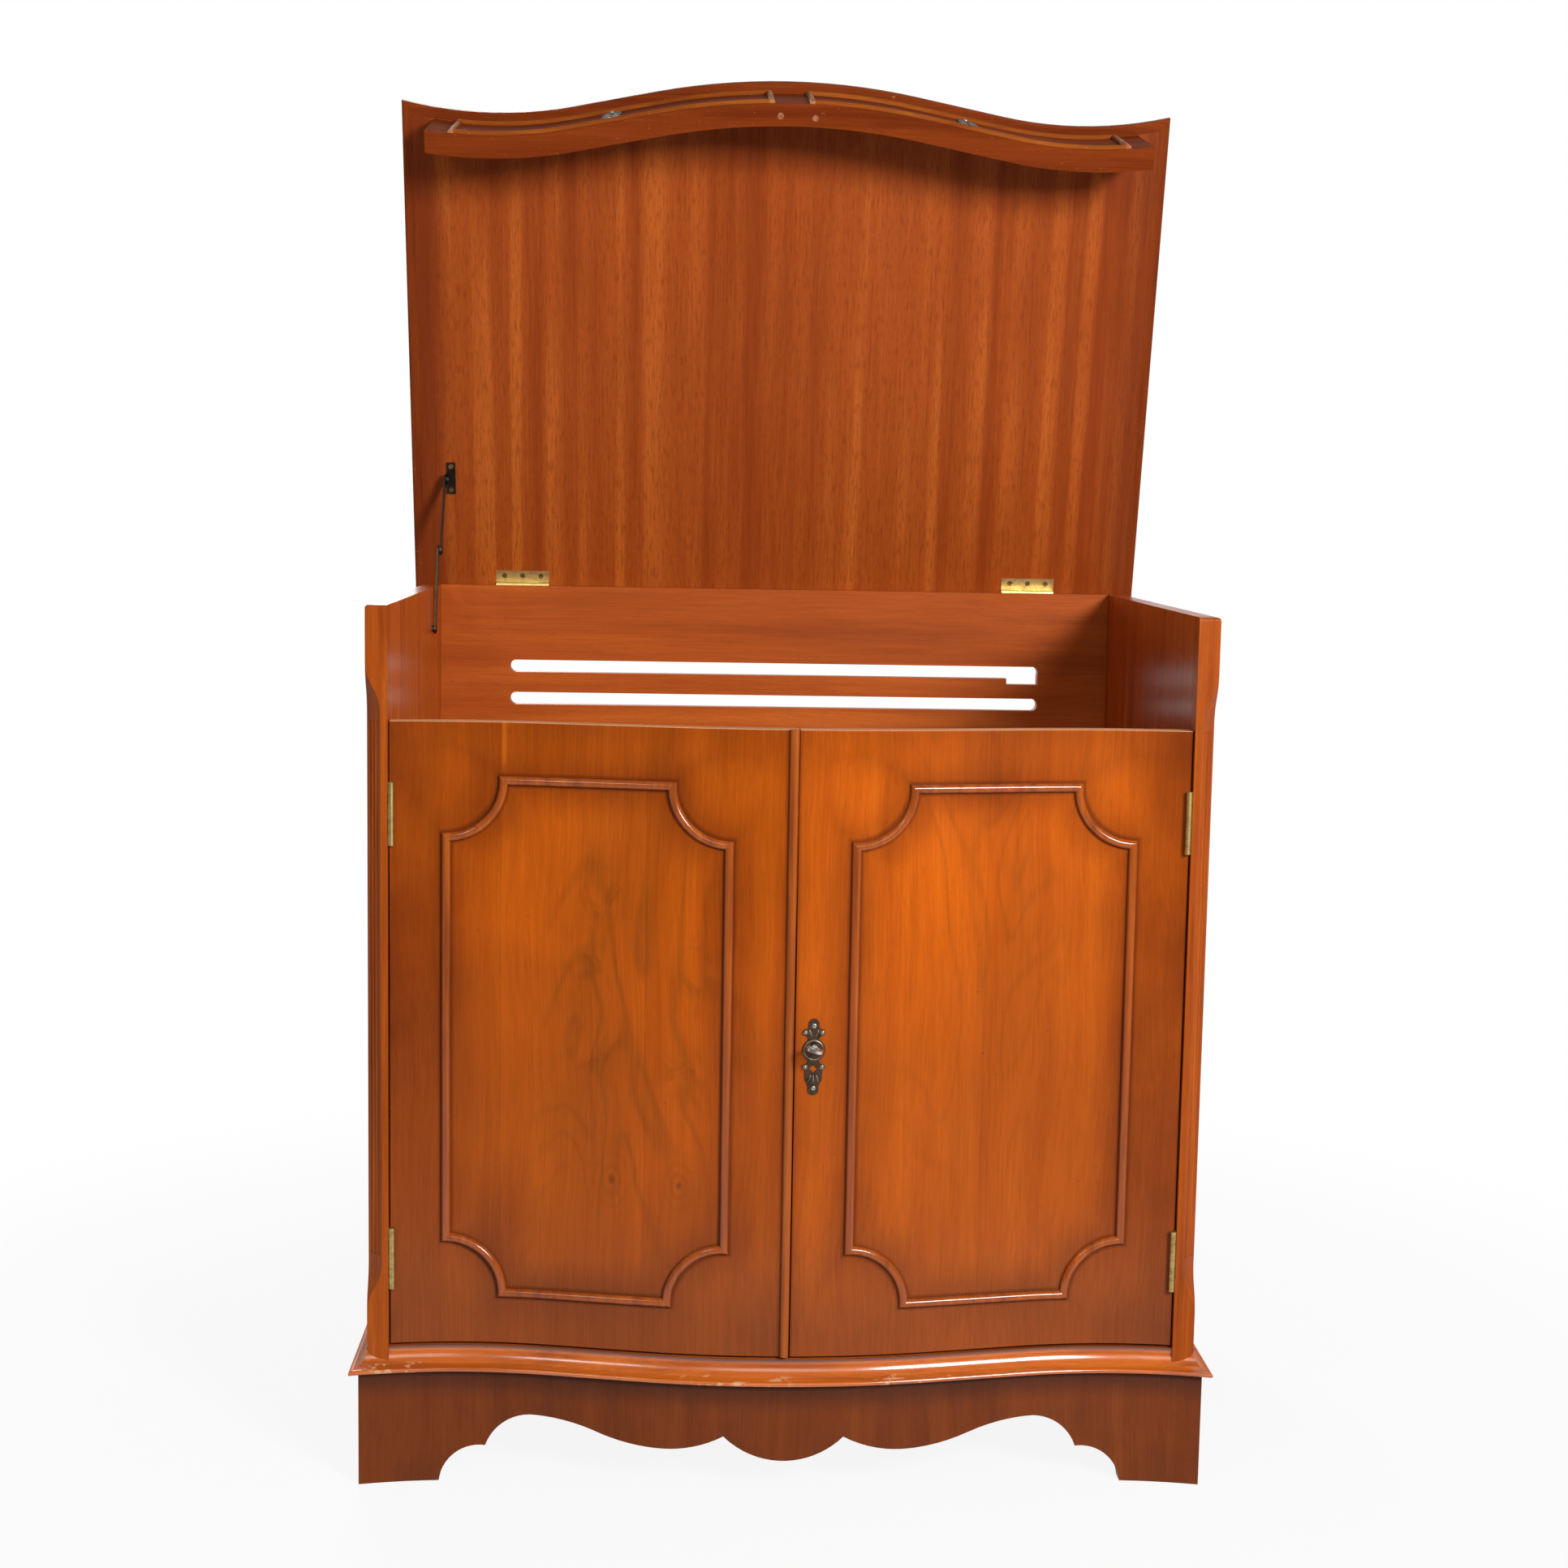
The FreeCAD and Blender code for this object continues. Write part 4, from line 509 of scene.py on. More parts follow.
for (x, z), size in KNOTS:
    knot = placed(tree, knot_marks, {"Position": where, "Centre": (x, 0.0, z), "Size": size})
    tone = tinted(tree, tone, knot["Rings"], *KNOT_RING_TINT)
    tone = tinted(tree, tone, knot["Heart"], *KNOT_HEART_TINT)
print("figure with", len(SMUDGES), "smudges and", len(KNOTS), "knots")

# %% [markdown]
# A dark glaze was sprayed over the doors, but only on their fronts, so the finish has to tell front
# from rear. The front follows a serpentine line. Rays cast at a door of the frame measure that
# line, a Float Curve node holds it, and a point counts as front when it lies close behind the
# curve.

# %% Door veneer: front of the doors
FRONT_SAMPLES = 25
FRONT_DEPTH = 0.006
FRONT_FADE = 0.003
EDGE_CLEAR = 0.0012
INWARD = Vector((0.0, 1.0, 0.0))
leaf_low, leaf_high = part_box("door_right")
leaf_size = leaf_high - leaf_low
front_line = node(tree, "ShaderNodeFloatCurve")
points = front_line.mapping.curves[0].points
for count in range(FRONT_SAMPLES):
    share = count / (FRONT_SAMPLES - 1)
    x = min(max(leaf_low.x + share * leaf_size.x, leaf_low.x + EDGE_CLEAR), leaf_high.x - EDGE_CLEAR)
    start = Vector((x, leaf_low.y - leaf_size.y, leaf_low.z + FRONT_DEPTH))
    hit = nodes["door_right"].ray_cast(start, INWARD)[1]
    sample = (share, (hit.y - leaf_low.y) / leaf_size.y)
    if count in (0, FRONT_SAMPLES - 1):
        points[0 if count == 0 else -1].location = sample
    else:
        points.new(*sample)
front_line.mapping.update()
along = maths(tree, "SUBTRACT", maths(tree, "ABSOLUTE", place["X"]), leaf_low.x)
put(tree, maths(tree, "DIVIDE", along, leaf_size.x), front_line.inputs["Value"])
front_y = maths(tree, "MULTIPLY_ADD", front_line.outputs["Value"], leaf_size.y, leaf_low.y)
behind = maths(tree, "SUBTRACT", place["Y"], front_y)
on_front = fade(tree, behind, FRONT_DEPTH, FRONT_DEPTH + FRONT_FADE)
print("front line of the doors from", len(points), "points")

# %% [markdown]
# The glaze makes a new cabinet look old. It is darkest towards the edges of each door and along the
# moulding, lies in a few soft spots near the corners, and clouds break it up so that no edge of it
# is sharp. Here it is a mask: the distance to each edge with its own width and strength, then the
# spots, laid over one another as coats are.

# %% Door veneer: glaze
GLAZE_BROWN = (0.095, 0.013, 0.002)
BAR_HALF = 0.0045
GLAZE_SPOTS = ((-0.3, 0.285), (-0.088, 0.285), (-0.322, 0.7), (-0.36, 0.16), (-0.03, 0.16), (0.375, 0.16))
SPOT_SHAPE = (1.0, 0.0, 1.0)
SPOT_REACH = 0.08
SPOT_STRENGTH = 0.4
BLOTCHES = (7.0, 3.0, 0.5)
BLOTCH_SHADES = (0.55, 1.05)


def coated(tree, below, above):
    """Two coats of glaze: the upper one, and as much of the lower as it leaves open."""
    left_open = maths(tree, "SUBTRACT", 1.0, above)
    return maths(tree, "ADD", above, times(tree, below, left_open))


door_low, door_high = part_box("door_left")
to_meeting = maths(tree, "ABSOLUTE", place["X"])
to_side = maths(tree, "SUBTRACT", -door_low.x, to_meeting)
to_top = maths(tree, "SUBTRACT", door_high.z, place["Z"])
to_foot = maths(tree, "SUBTRACT", place["Z"], door_low.z)
outside = placed(tree, to_moulding, {"Position": where})["Distance"]
to_bar = maths(tree, "ABSOLUTE", maths(tree, "ADD", outside, BAR_HALF))
GLAZE_EDGES = ((to_side, 0.085, 0.76), (to_top, 0.06, 0.45), (to_foot, 0.1, 0.5), (to_meeting, 0.03, 0.4),
               (to_bar, 0.046, 0.62))
glaze = 0.0
for distance, width, strength in GLAZE_EDGES:
    glaze = coated(tree, glaze, times(tree, fade(tree, distance, 0.0, width), strength))
for centre in GLAZE_SPOTS:
    distance = distance_from(tree, where, centre, SPOT_SHAPE)
    glaze = coated(tree, glaze, ramp(tree, distance, 0.0, SPOT_REACH, SPOT_STRENGTH, 0.0))
blotches = noise(tree, where, *BLOTCHES)
glaze = times(tree, glaze, ramp(tree, blotches, *NOISE_SPAN, *BLOTCH_SHADES))
tone = mixed(tree, times(tree, glaze, on_front), tone, opaque(GLAZE_BROWN))
print(len(GLAZE_EDGES), "glazed edges and", len(GLAZE_SPOTS), "spots")

# %% [markdown]
# Last come painted light and shade on the doors. A painted reflection of the pale floor makes them
# greyer and browner towards the bottom, painted shade darkens the crevices beside the moulding and
# the meeting bead, and a painted highlight runs along the top edge.

# %% Door veneer: painted floor reflection, shade in crevices and top highlight
FLOOR_REFLECTION_BROWN = (0.21, 0.058, 0.02)
FLOOR_REFLECTION_START = 0.03
FLOOR_REFLECTION_TINTS = ((0.18, 0.42), (0.5, 0.26))
CREVICE_SHADE_WIDTH = 0.005
CREVICE_SHADE_TINT = (0.55, (0.06, 0.01, 0.003))
TOP_HIGHLIGHT_EDGE = (0.0002, 0.0009)
TOP_HIGHLIGHT_TINT = (0.7, (0.8, 0.42, 0.22))

# Painted reflection of the pale floor: greyer and browner towards the bottom of each front.
for height, strength in FLOOR_REFLECTION_TINTS:
    floor_reflection = times(tree, fade(tree, to_foot, FLOOR_REFLECTION_START, height), on_front)
    tone = tinted(tree, tone, floor_reflection, strength, FLOOR_REFLECTION_BROWN)
bead_low, bead_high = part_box("meeting_bead")
to_bead = maths(tree, "MAXIMUM", maths(tree, "SUBTRACT", bead_low.x, place["X"]),
                maths(tree, "SUBTRACT", place["X"], bead_high.x))
# Painted shade: darker in the crevices beside the moulding and the meeting bead.
crevice_shade = maths(tree, "MAXIMUM", fade(tree, to_bar, BAR_HALF, BAR_HALF + CREVICE_SHADE_WIDTH),
                fade(tree, to_bead, 0.0, CREVICE_SHADE_WIDTH))
tone = tinted(tree, tone, times(tree, crevice_shade, on_front), *CREVICE_SHADE_TINT)
# Painted highlight: a pale line along the top edge of the doors.
tone = tinted(tree, tone, fade(tree, to_top, *TOP_HIGHLIGHT_EDGE), *TOP_HIGHLIGHT_TINT)
surface(tree, shader, tone, wood["Fibres"], wood["Clouds"], DOOR_GLOSS)
print("finish", door_yew.name, "with", len(tree.nodes), "nodes")

# %% [markdown]
# Under the lid lies a plainer, redder veneer whose grain stands alternately towards and away from
# the light, which shows as ribbons running from the hinge to the front. A sine across the board
# gives the ribbons, a slow noise bends them, and they are calm in the middle and strong towards
# both sides.

# %% Lid: ribbons on the lower face
LID_TONES = ((0.225, 0.036, 0.005), (0.335, 0.063, 0.009), (0.44, 0.098, 0.014))
LID_GLOSS = 0.36
LID_POLISH = 0.08
LID_STREAKS = 60.0
LID_WAVER = 0.004
LONG_DRAW = 0.02
BAND_PITCH = 0.042
BAND_BEND = 0.06
BENDS = (16.0, 1.0)
BAND_SPAN = (-0.2, 1.0)
BAND_LIFT = 0.26
CALM_MIDDLE = (0.03, 0.3, 0.3, 1.0)
PATCH_DRAW = 0.25
PATCHES = (11.0, 1.0)
PATCH_SPAN = (0.3, 0.65, 0.2, 1.0)

lid_yew, tree, shader, where = start_finish("lid ribbon veneer", LID_GLOSS, LID_POLISH)
lid_grain = along_grain(tree, where, ALONG_LID)
wood = wood_marks(tree, lid_grain, LID_STREAKS, LID_WAVER)
across = apart(tree, where)["X"]
from_middle = maths(tree, "ABSOLUTE", across)
long_grain = drawn_out(tree, lid_grain, LONG_DRAW, FLAT)
bend = times(tree, noise(tree, long_grain, *BENDS), BAND_BEND)
turns = times(tree, maths(tree, "ADD", across, bend), 2 * math.pi / BAND_PITCH)
band = ramp(tree, maths(tree, "SINE", turns), *BAND_SPAN)
band = times(tree, band, ramp(tree, from_middle, *CALM_MIDDLE))
spread = noise(tree, drawn_out(tree, lid_grain, PATCH_DRAW, FLAT), *PATCHES)
patches = times(tree, ramp(tree, spread, *PATCH_SPAN), BAND_LIFT)
lift = times(tree, band, patches)
print("ribbons every", BAND_PITCH, "m under the lid")

# %% [markdown]
# The ribbons lift the tone of the veneer. Broad and fine streaks of growth make it uneven as well,
# and the sum picks a place on the run from dark to pale. Short dark pores finish it, with painted
# shade darkening the margins at the sides.

# %% Lid: tone of the lower face
BROAD_STREAKS = (19.0, 2.0, 0.5)
BROAD_SHARE = 0.6
FINE_SHARE = 0.3
LID_LEVEL = 0.46
LID_FLECK_SPAN = (0.48, 0.72)
LID_FLECK_TINT = (0.42, LID_TONES[0])
PORE_DRAW = 0.14
PORES = (380.0, 2.0, 0.6)
PORE_SPAN = (0.5, 0.66)
PORE_TINT = (0.5, LID_TONES[0])
MARGIN_START = 0.05
MARGIN_END = 0.01
MARGIN_SHADE_TINT = (0.6, (0.12, 0.017, 0.003))

broad = maths(tree, "SUBTRACT", noise(tree, long_grain, *BROAD_STREAKS), 0.5)
fine = maths(tree, "SUBTRACT", wood["Streaks"], 0.5)
uneven = maths(tree, "ADD", times(tree, broad, BROAD_SHARE), times(tree, fine, FINE_SHARE))
value = maths(tree, "ADD", maths(tree, "ADD", lift, uneven), LID_LEVEL)
tone = three_tones(tree, value, *LID_TONES)
tone = tinted(tree, tone, ramp(tree, wood["Flecks"], *LID_FLECK_SPAN), *LID_FLECK_TINT)
pores = noise(tree, drawn_out(tree, lid_grain, PORE_DRAW, FLAT), *PORES)
tone = tinted(tree, tone, ramp(tree, pores, *PORE_SPAN), *PORE_TINT)
lid_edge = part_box("lid_panel")[1].x
# Painted shade: darker towards both sides of the lid's lower face.
margin_shade = ramp(tree, from_middle, lid_edge - MARGIN_START, lid_edge - MARGIN_END)
tone = tinted(tree, tone, margin_shade, *MARGIN_SHADE_TINT)
print("lower face of the lid", round(2 * lid_edge, 3), "m wide")

# %% [markdown]
# The upper face of the lid is hidden in the picture, so it gets the show veneer of the doors, with
# its grain from left to right as on most tops. One solid carries both faces: a point belongs to the
# upper one when it lies past the middle of the board's thickness, measured square to the leaning
# board.

# %% Lid: upper face
UPPER_RING_TINT = (0.3, RING_BROWN)
UPPER_CLOUD_SPAN = (0.45, 0.75)
UPPER_CLOUD_TINT = (0.4, RING_BROWN)

show = wood_marks(tree, along_grain(tree, where, ALONG_X), SHOW_STREAKS, SHOW_WAVER)
upper_tone = three_tones(tree, show["Streaks"], *DOOR_TONES)
upper_tone = tinted(tree, upper_tone, show["Rings"], *UPPER_RING_TINT)
upper_tone = tinted(tree, upper_tone, ramp(tree, show["Clouds"], *UPPER_CLOUD_SPAN), *UPPER_CLOUD_TINT)
leaning = Matrix.Rotation(ALONG_LID[0], 3, "X")
depths = [(leaning @ vertex.co).y for vertex in nodes["lid_panel"].data.vertices]
upper = maths(tree, "GREATER_THAN", apart(tree, lid_grain)["Y"], (min(depths) + max(depths)) / 2)
tone = mixed(tree, upper, tone, upper_tone)
fibres = mixed(tree, upper, wood["Fibres"], show["Fibres"])
surface(tree, shader, tone, fibres, wood["Clouds"], LID_GLOSS)
print("finish", lid_yew.name, "on a board", round(max(depths) - min(depths), 4), "m thick")

# %% [markdown]
# Old furniture is marked where it is touched. The lip of the base moulding is chipped to the pale
# wood in a few stretches, with painted shade in the angle under the doors. Each mark is a function
# that takes the tone of a board and gives it back marked, so that the recipe for plain boards can call
# it.

# %% Marks of use and painted shade: base moulding
PALE_WOOD = (0.6, 0.3, 0.14)
CHIPPED = ((-0.43, -0.37), (-0.11, 0.01), (0.09, 0.18))
CHIP_FADE = (0.3, 0.6)
CHIP_DRAW = (0.6, 1.0, 1.0)
CHIPS = (90.0, 0.55, 0.6, 4.0, 0.65)
CHIP_TINT = (0.9, PALE_WOOD)
LIP_FADE = (0.1255, 0.1285)
MOULDING_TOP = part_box("base_moulding_front")[1].z
UNDER_DOOR_SHADE_START = 0.005
UNDER_DOOR_SHADE_END = 0.001
UNDER_DOOR_SHADE_TINT = (0.9, (0.07, 0.014, 0.003))


def chipped_and_shaded_lip(tree, tone, where):
    """Pale chips along the lip of the base moulding, in a few stretches, and painted shade on its top
    under the doors.
    """
    place = apart(tree, where)
    stretch = 0.0
    for start, end in CHIPPED:
        from_mid = gap(tree, place["X"], (start + end) / 2)
        near = fade(tree, from_mid, *[(end - start) * share for share in CHIP_FADE])
        stretch = maths(tree, "MAXIMUM", stretch, near)
    low = fade(tree, place["Z"], *LIP_FADE)
    flakes = speckle(tree, vectors(tree, "MULTIPLY", where, CHIP_DRAW), *CHIPS)
    chips = times(tree, times(tree, stretch, low), flakes)
    # Painted shade on the top of the moulding, in the angle under the doors.
    under_door_shade = ramp(tree, place["Z"], MOULDING_TOP - UNDER_DOOR_SHADE_START, MOULDING_TOP - UNDER_DOOR_SHADE_END)
    tone = tinted(tree, tone, under_door_shade, *UNDER_DOOR_SHADE_TINT)
    return tinted(tree, tone, chips, *CHIP_TINT)


print("chips on", len(CHIPPED), "stretches of the lip")

# %% [markdown]
# The edges of the lid and its false drawer rail are handled most: small pale scuffs lie on them,
# and the end bars of the drawer mouldings are rubbed pale. The plinth carries a painted shadow under
# the base moulding, and is clouded below.

# %% Marks of use and painted shadow: rail, drawer mouldings and plinth
SCUFFS = (240.0, 0.66, 0.74, 3.0, 0.65)
SCUFF_AREAS = (14.0, 0.45, 0.65, 1.0, 0.5)
SCUFF_TINT = (0.55, PALE_WOOD)
DRAWER_ENDS = [abs(corner.x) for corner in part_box("drawer_moulding_right")]
END_BAR = 0.007
END_BAR_CORE = 0.7
RUBS = (60.0, 0.4, 0.6, 3.0, 0.6)
RUB_TINT = (0.45, PALE_WOOD)
PLINTH_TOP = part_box("plinth_front")[1].z
SHADE_START = 0.034
SHADE_END = 0.004
SHADE_TINT = (0.75, (0.04, 0.013, 0.007))
PLINTH_CLOUDS = (14.0, 0.42, 0.7, 4.0, 0.65)
PLINTH_CLOUD_TINT = (0.4, (0.09, 0.022, 0.008))


def scuffed(tree, tone, where):
    """Small pale scuffs scattered over an edge that is handled."""
    scuffs = times(tree, speckle(tree, where, *SCUFFS), speckle(tree, where, *SCUFF_AREAS))
    return tinted(tree, tone, scuffs, *SCUFF_TINT)


def worn_ends(tree, tone, where):
    """Scuffs, and pale worn wood on the end bars of the drawer mouldings."""
    tone = scuffed(tree, tone, where)
    out = maths(tree, "ABSOLUTE", apart(tree, where)["X"])
    rubbed = speckle(tree, where, *RUBS)
    for end in DRAWER_ENDS:
        from_end = gap(tree, out, end)
        bar = fade(tree, from_end, END_BAR * END_BAR_CORE, END_BAR)
        tone = tinted(tree, tone, times(tree, bar, rubbed), *RUB_TINT)
    return tone


def shaded_top(tree, tone, where):
    """Painted shadow at the top of the plinth, under the moulding, and darker clouds below."""
    height = apart(tree, where)["Z"]
    # Painted shadow of the base moulding on the top of the plinth.
    top = ramp(tree, height, PLINTH_TOP - SHADE_START, PLINTH_TOP - SHADE_END)
    tone = tinted(tree, tone, top, *SHADE_TINT)
    return tinted(tree, tone, speckle(tree, where, *PLINTH_CLOUDS), *PLINTH_CLOUD_TINT)


print("drawer mouldings end at", [round(end, 3) for end in DRAWER_ENDS], "m from the middle")

# %% [markdown]
# The other boards are simpler: level grain on the back, straight upright grain on the sides, and
# solid wood for stiles, mouldings and plinth. All follow one recipe, so a row of values each is
# enough. The base moulding mirrors most, because it gleams in the picture, and the rail under the
# lid is almost matt.

# %% Plain boards
BOARD_FLECKS = 0.3
BOARD_CLOUDS = 0.35
BACK_TONES = ((0.27, 0.046, 0.006), (0.4, 0.075, 0.009), (0.51, 0.11, 0.014))
SIDE_TONES = ((0.31, 0.056, 0.006), (0.45, 0.088, 0.01), (0.56, 0.126, 0.014))
STILE_TONES = ((0.21, 0.034, 0.003), (0.31, 0.058, 0.005), (0.41, 0.088, 0.008))
MOULDING_TONES = ((0.34, 0.066, 0.006), (0.5, 0.108, 0.009), (0.62, 0.155, 0.014))
BEAD_TONES = ((0.2, 0.036, 0.003), (0.3, 0.06, 0.005), (0.38, 0.085, 0.008))
MEETING_TONES = ((0.22, 0.046, 0.005), (0.32, 0.072, 0.008), (0.41, 0.1, 0.012))
RAIL_TONES = ((0.13, 0.02, 0.0035), (0.19, 0.032, 0.005), (0.25, 0.046, 0.007))
DRAWER_TONES = ((0.18, 0.034, 0.004), (0.26, 0.058, 0.007), (0.34, 0.088, 0.011))
PLINTH_TONES = ((0.13, 0.026, 0.0048), (0.16, 0.033, 0.0062), (0.19, 0.042, 0.008))


def board(name, tones, streak_scale, waver, turn, gloss, polish, marks=None):
    """A polished board: three tones from its streaks, flecks and clouds over them, then its own marks."""
    material, tree, shader, where = start_finish(name, gloss, polish)
    wood = wood_marks(tree, along_grain(tree, where, turn), streak_scale, waver)
    tone = three_tones(tree, wood["Streaks"], *tones)
    tone = tinted(tree, tone, ramp(tree, wood["Flecks"], *FLECK_SPAN), BOARD_FLECKS, tones[0])
    tone = tinted(tree, tone, ramp(tree, wood["Clouds"], *FLECK_SPAN), BOARD_CLOUDS, tones[0])
    if marks:
        tone = marks(tree, tone, where)
    surface(tree, shader, tone, wood["Fibres"], wood["Clouds"], gloss)
    return material


# Name, tones, scale of the streaks, waver, grain, gloss, polish, marks of use and painted shade
back_yew = board("back veneer", BACK_TONES, 22.0, 0.02, ALONG_X, 0.45, 0.1)
side_yew = board("side veneer", SIDE_TONES, 60.0, 0.006, UPRIGHT, 0.26, 0.1)
stile_yew = board("solid upright yew", STILE_TONES, 70.0, 0.01, UPRIGHT, 0.3, 0.1)
moulding_yew = board("solid level yew", MOULDING_TONES, 60.0, 0.01, ALONG_X, 0.19, 0.85, chipped_and_shaded_lip)
return_yew = board("solid return yew", MOULDING_TONES, 60.0, 0.01, ALONG_Y, 0.3, 0.04, chipped_and_shaded_lip)
bead_yew = board("applied moulding yew", BEAD_TONES, 90.0, 0.01, UPRIGHT, 0.17, 0.46)
meeting_yew = board("meeting bead yew", MEETING_TONES, 90.0, 0.01, UPRIGHT, 0.28, 0.25)
lipping_yew = board("lid lipping yew", RAIL_TONES, 70.0, 0.01, ALONG_LID, 0.4, 0.04, scuffed)
rim_yew = board("lid front lipping yew", RAIL_TONES, 70.0, 0.01, ALONG_X, 0.4, 0.03, scuffed)
rail_yew = board("drawer rail yew", RAIL_TONES, 40.0, 0.01, ALONG_X, 0.55, 0.01, scuffed)
drawer_yew = board("drawer moulding yew", DRAWER_TONES, 60.0, 0.01, ALONG_X, 0.5, 0.03, worn_ends)
plinth_yew = board("plinth yew", PLINTH_TONES, 34.0, 0.03, UPRIGHT, 0.45, 0.14, shaded_top)
print(len(bpy.data.materials), "materials so far")

# %% [markdown]
# The metals are brass for hinges, screws and the bolt of the left door, a dark cast bronze for the
# keyhole plates, and steel for pins, stay, lock and key. A handled metal is clean where it is
# rubbed and tarnished elsewhere, so each is a metallic shader whose tone and roughness drift
# together in clouds.

# %% Metals
TARNISH = (160.0, 4.0, 0.6)
TARNISH_SPAN = (0.35, 0.7)
ROUGH_SPAN = (0.3, 0.75)


def metal(name, clean, tarnish, smooth, rough):
    """A handled metal: clean and smooth where rubbed, tarnished and rough in clouds."""
    material, tree, shader, where = start_finish(name, smooth)
    clouds = noise(tree, where, *TARNISH)
    tone = mixed(tree, ramp(tree, clouds, *TARNISH_SPAN), opaque(clean), opaque(tarnish))
    put(tree, tone, shader.inputs["Base Color"])
    put(tree, ramp(tree, clouds, *ROUGH_SPAN, smooth, rough), shader.inputs["Roughness"])
    shader.inputs["Metallic"].default_value = 1.0
    return material


# Name, clean tone, tarnished tone, roughness where clean, roughness where tarnished
metals = {
    "hinge_brass": metal("hinge brass", (0.95, 0.75, 0.34), (0.72, 0.54, 0.2), 0.36, 0.5),
    "plate_bronze": metal("plate bronze", (0.12, 0.08, 0.055), (0.04, 0.026, 0.018), 0.34, 0.6),
    "pin_brass": metal("pin steel", (0.6, 0.57, 0.52), (0.36, 0.33, 0.28), 0.22, 0.4),
    "stay_steel": metal("stay steel", (0.13, 0.1, 0.08), (0.07, 0.05, 0.036), 0.36, 0.55),
    "lock_steel": metal("lock steel", (0.55, 0.53, 0.49), (0.32, 0.29, 0.25), 0.26, 0.5),
}
dull_brass = metal("dull brass", (0.55, 0.4, 0.15), (0.32, 0.22, 0.075), 0.4, 0.55)
rubbed_bronze = metal("rubbed bronze", (0.34, 0.27, 0.21), (0.14, 0.1, 0.07), 0.28, 0.48)
screw_brass = metal("screw brass", (0.4, 0.3, 0.14), (0.2, 0.14, 0.06), 0.3, 0.45)
key_steel = metal("key steel", (0.86, 0.84, 0.8), (0.6, 0.57, 0.52), 0.16, 0.3)
bracket_black = metal("blackened bracket", (0.05, 0.04, 0.034), (0.02, 0.016, 0.013), 0.4, 0.6)
print(len(metals), "metals by slot")

# %% [markdown]
# Every piece of the frame now gets its finish. The woods are given by name, because pieces of one
# slot differ in grain and wear. The metals follow the slot that the record names for each piece,
# and a few that are seen duller or brighter in the picture are set by name afterwards.

# %% Dress the frame
WOODEN = (
    (door_yew, ("door_left", "door_right")),
    (lid_yew, ("lid_panel",)),
    (rail_yew, ("fascia_rail",)),
    (side_yew, ("side_left", "side_right")),
    (back_yew, ("bottom_board", "back_panel")),
    (stile_yew, ("front_stile_left", "front_stile_right")),
    (moulding_yew, ("base_moulding_front",)),
    (return_yew, ("base_moulding_left", "base_moulding_right")),
    (rim_yew, ("lid_lipping_front",)),
    (lipping_yew, ("lid_lipping_left", "lid_lipping_right")),
    (bead_yew, ("door_left_moulding", "door_right_moulding")),
    (meeting_yew, ("meeting_bead",)),
    (drawer_yew, ("drawer_moulding_left", "drawer_moulding_right")),
    (plinth_yew, ("plinth_front", "plinth_left", "plinth_right", "plinth_back", "plinth_corner_blocks")),
)
finish_of = {name: finish for finish, names in WOODEN for name in names}
for piece in frame["record"]["subparts"]:
    if piece["material_slot"] in metals:
        finish_of[piece["node"]] = metals[piece["material_slot"]]
for name in nodes:
    if name.startswith("hinge_"):
        finish_of[name] = dull_brass
for name in ("lid_screws", "frame_hinge_screws", "door_left_screws", "door_right_screws"):
    finish_of[name] = screw_brass
finish_of["stay_bracket"] = bracket_black
finish_of["key"] = key_steel
for name, finish in finish_of.items():
    slots = nodes[name].data.materials
    slots.clear()
    slots.append(finish)
print("dressed", len(finish_of), "of", len(nodes), "nodes; bare:", sorted(set(nodes) - set(finish_of)))

# %% [markdown]
# The keyhole plates are cast, with raised work on their faces. The frame has the flat plates, so
# the raised work is new. One helper finds the flat face of a plate, as the largest area of one
# normal, and gives a matrix that stands work on it. The other sets a finished mesh in its place and
# lets it ride on the body that carries it.

# %% Helpers: small pieces
MERGE_REACH = 0.000005


def plate_face(name, side):
    """Where the flat face of a keyhole plate lies: its middle, with right, up and outward as axes."""
    mesh = nodes[name].data
    runs = {}
    for face in mesh.polygons:
        if face.center.x * side > 0:
            runs.setdefault(tuple(round(part, 2) for part in face.normal), []).append(face)
    flat = max(runs.values(), key=lambda faces: sum(face.area for face in faces))
    normal = flat[0].normal.copy()
    sideways = (Vector((1.0, 0.0, 0.0)) - normal.x * normal).normalized()
    axes = (sideways, normal.cross(sideways), normal)
    corners = [mesh.vertices[index].co for face in flat for index in face.vertices]
    spans = [[corner.dot(axis) for corner in corners] for axis in axes]
    middle = sum((axis * (min(span) + max(span)) / 2 for axis, span in zip(axes, spans)), Vector())
    return Matrix.Translation(middle) @ Matrix(axes).transposed().to_4x4()


def new_piece(name, bm, place, finish, body):
    """A finished mesh set in its place, smooth, dressed and riding on a body."""
    bmesh.ops.remove_doubles(bm, verts=bm.verts, dist=MERGE_REACH)
    bmesh.ops.recalc_face_normals(bm, faces=bm.faces)
    bmesh.ops.transform(bm, matrix=place, verts=bm.verts)
    mesh = bpy.data.meshes.new(name)
    bm.to_mesh(mesh)
    bm.free()
    for face in mesh.polygons:
        face.use_smooth = True
    mesh.materials.append(finish)
    piece = bpy.data.objects.new(name, mesh)
    bpy.context.scene.collection.objects.link(piece)
    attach(piece, body)
    return piece


print("helpers for small pieces ready")

# %% [markdown]
# On a cast plate a round bead frames the keyhole, each scroll ends in an eye, and leaf ribs fan out
# above and below. A founder would chase these after casting. Here the bead is a circle spun about
# the keyhole, the eyes are small outlines spun about their own axes, and the ribs are balls drawn
# out, all in one mesh for each plate that is sunk a little into its face.

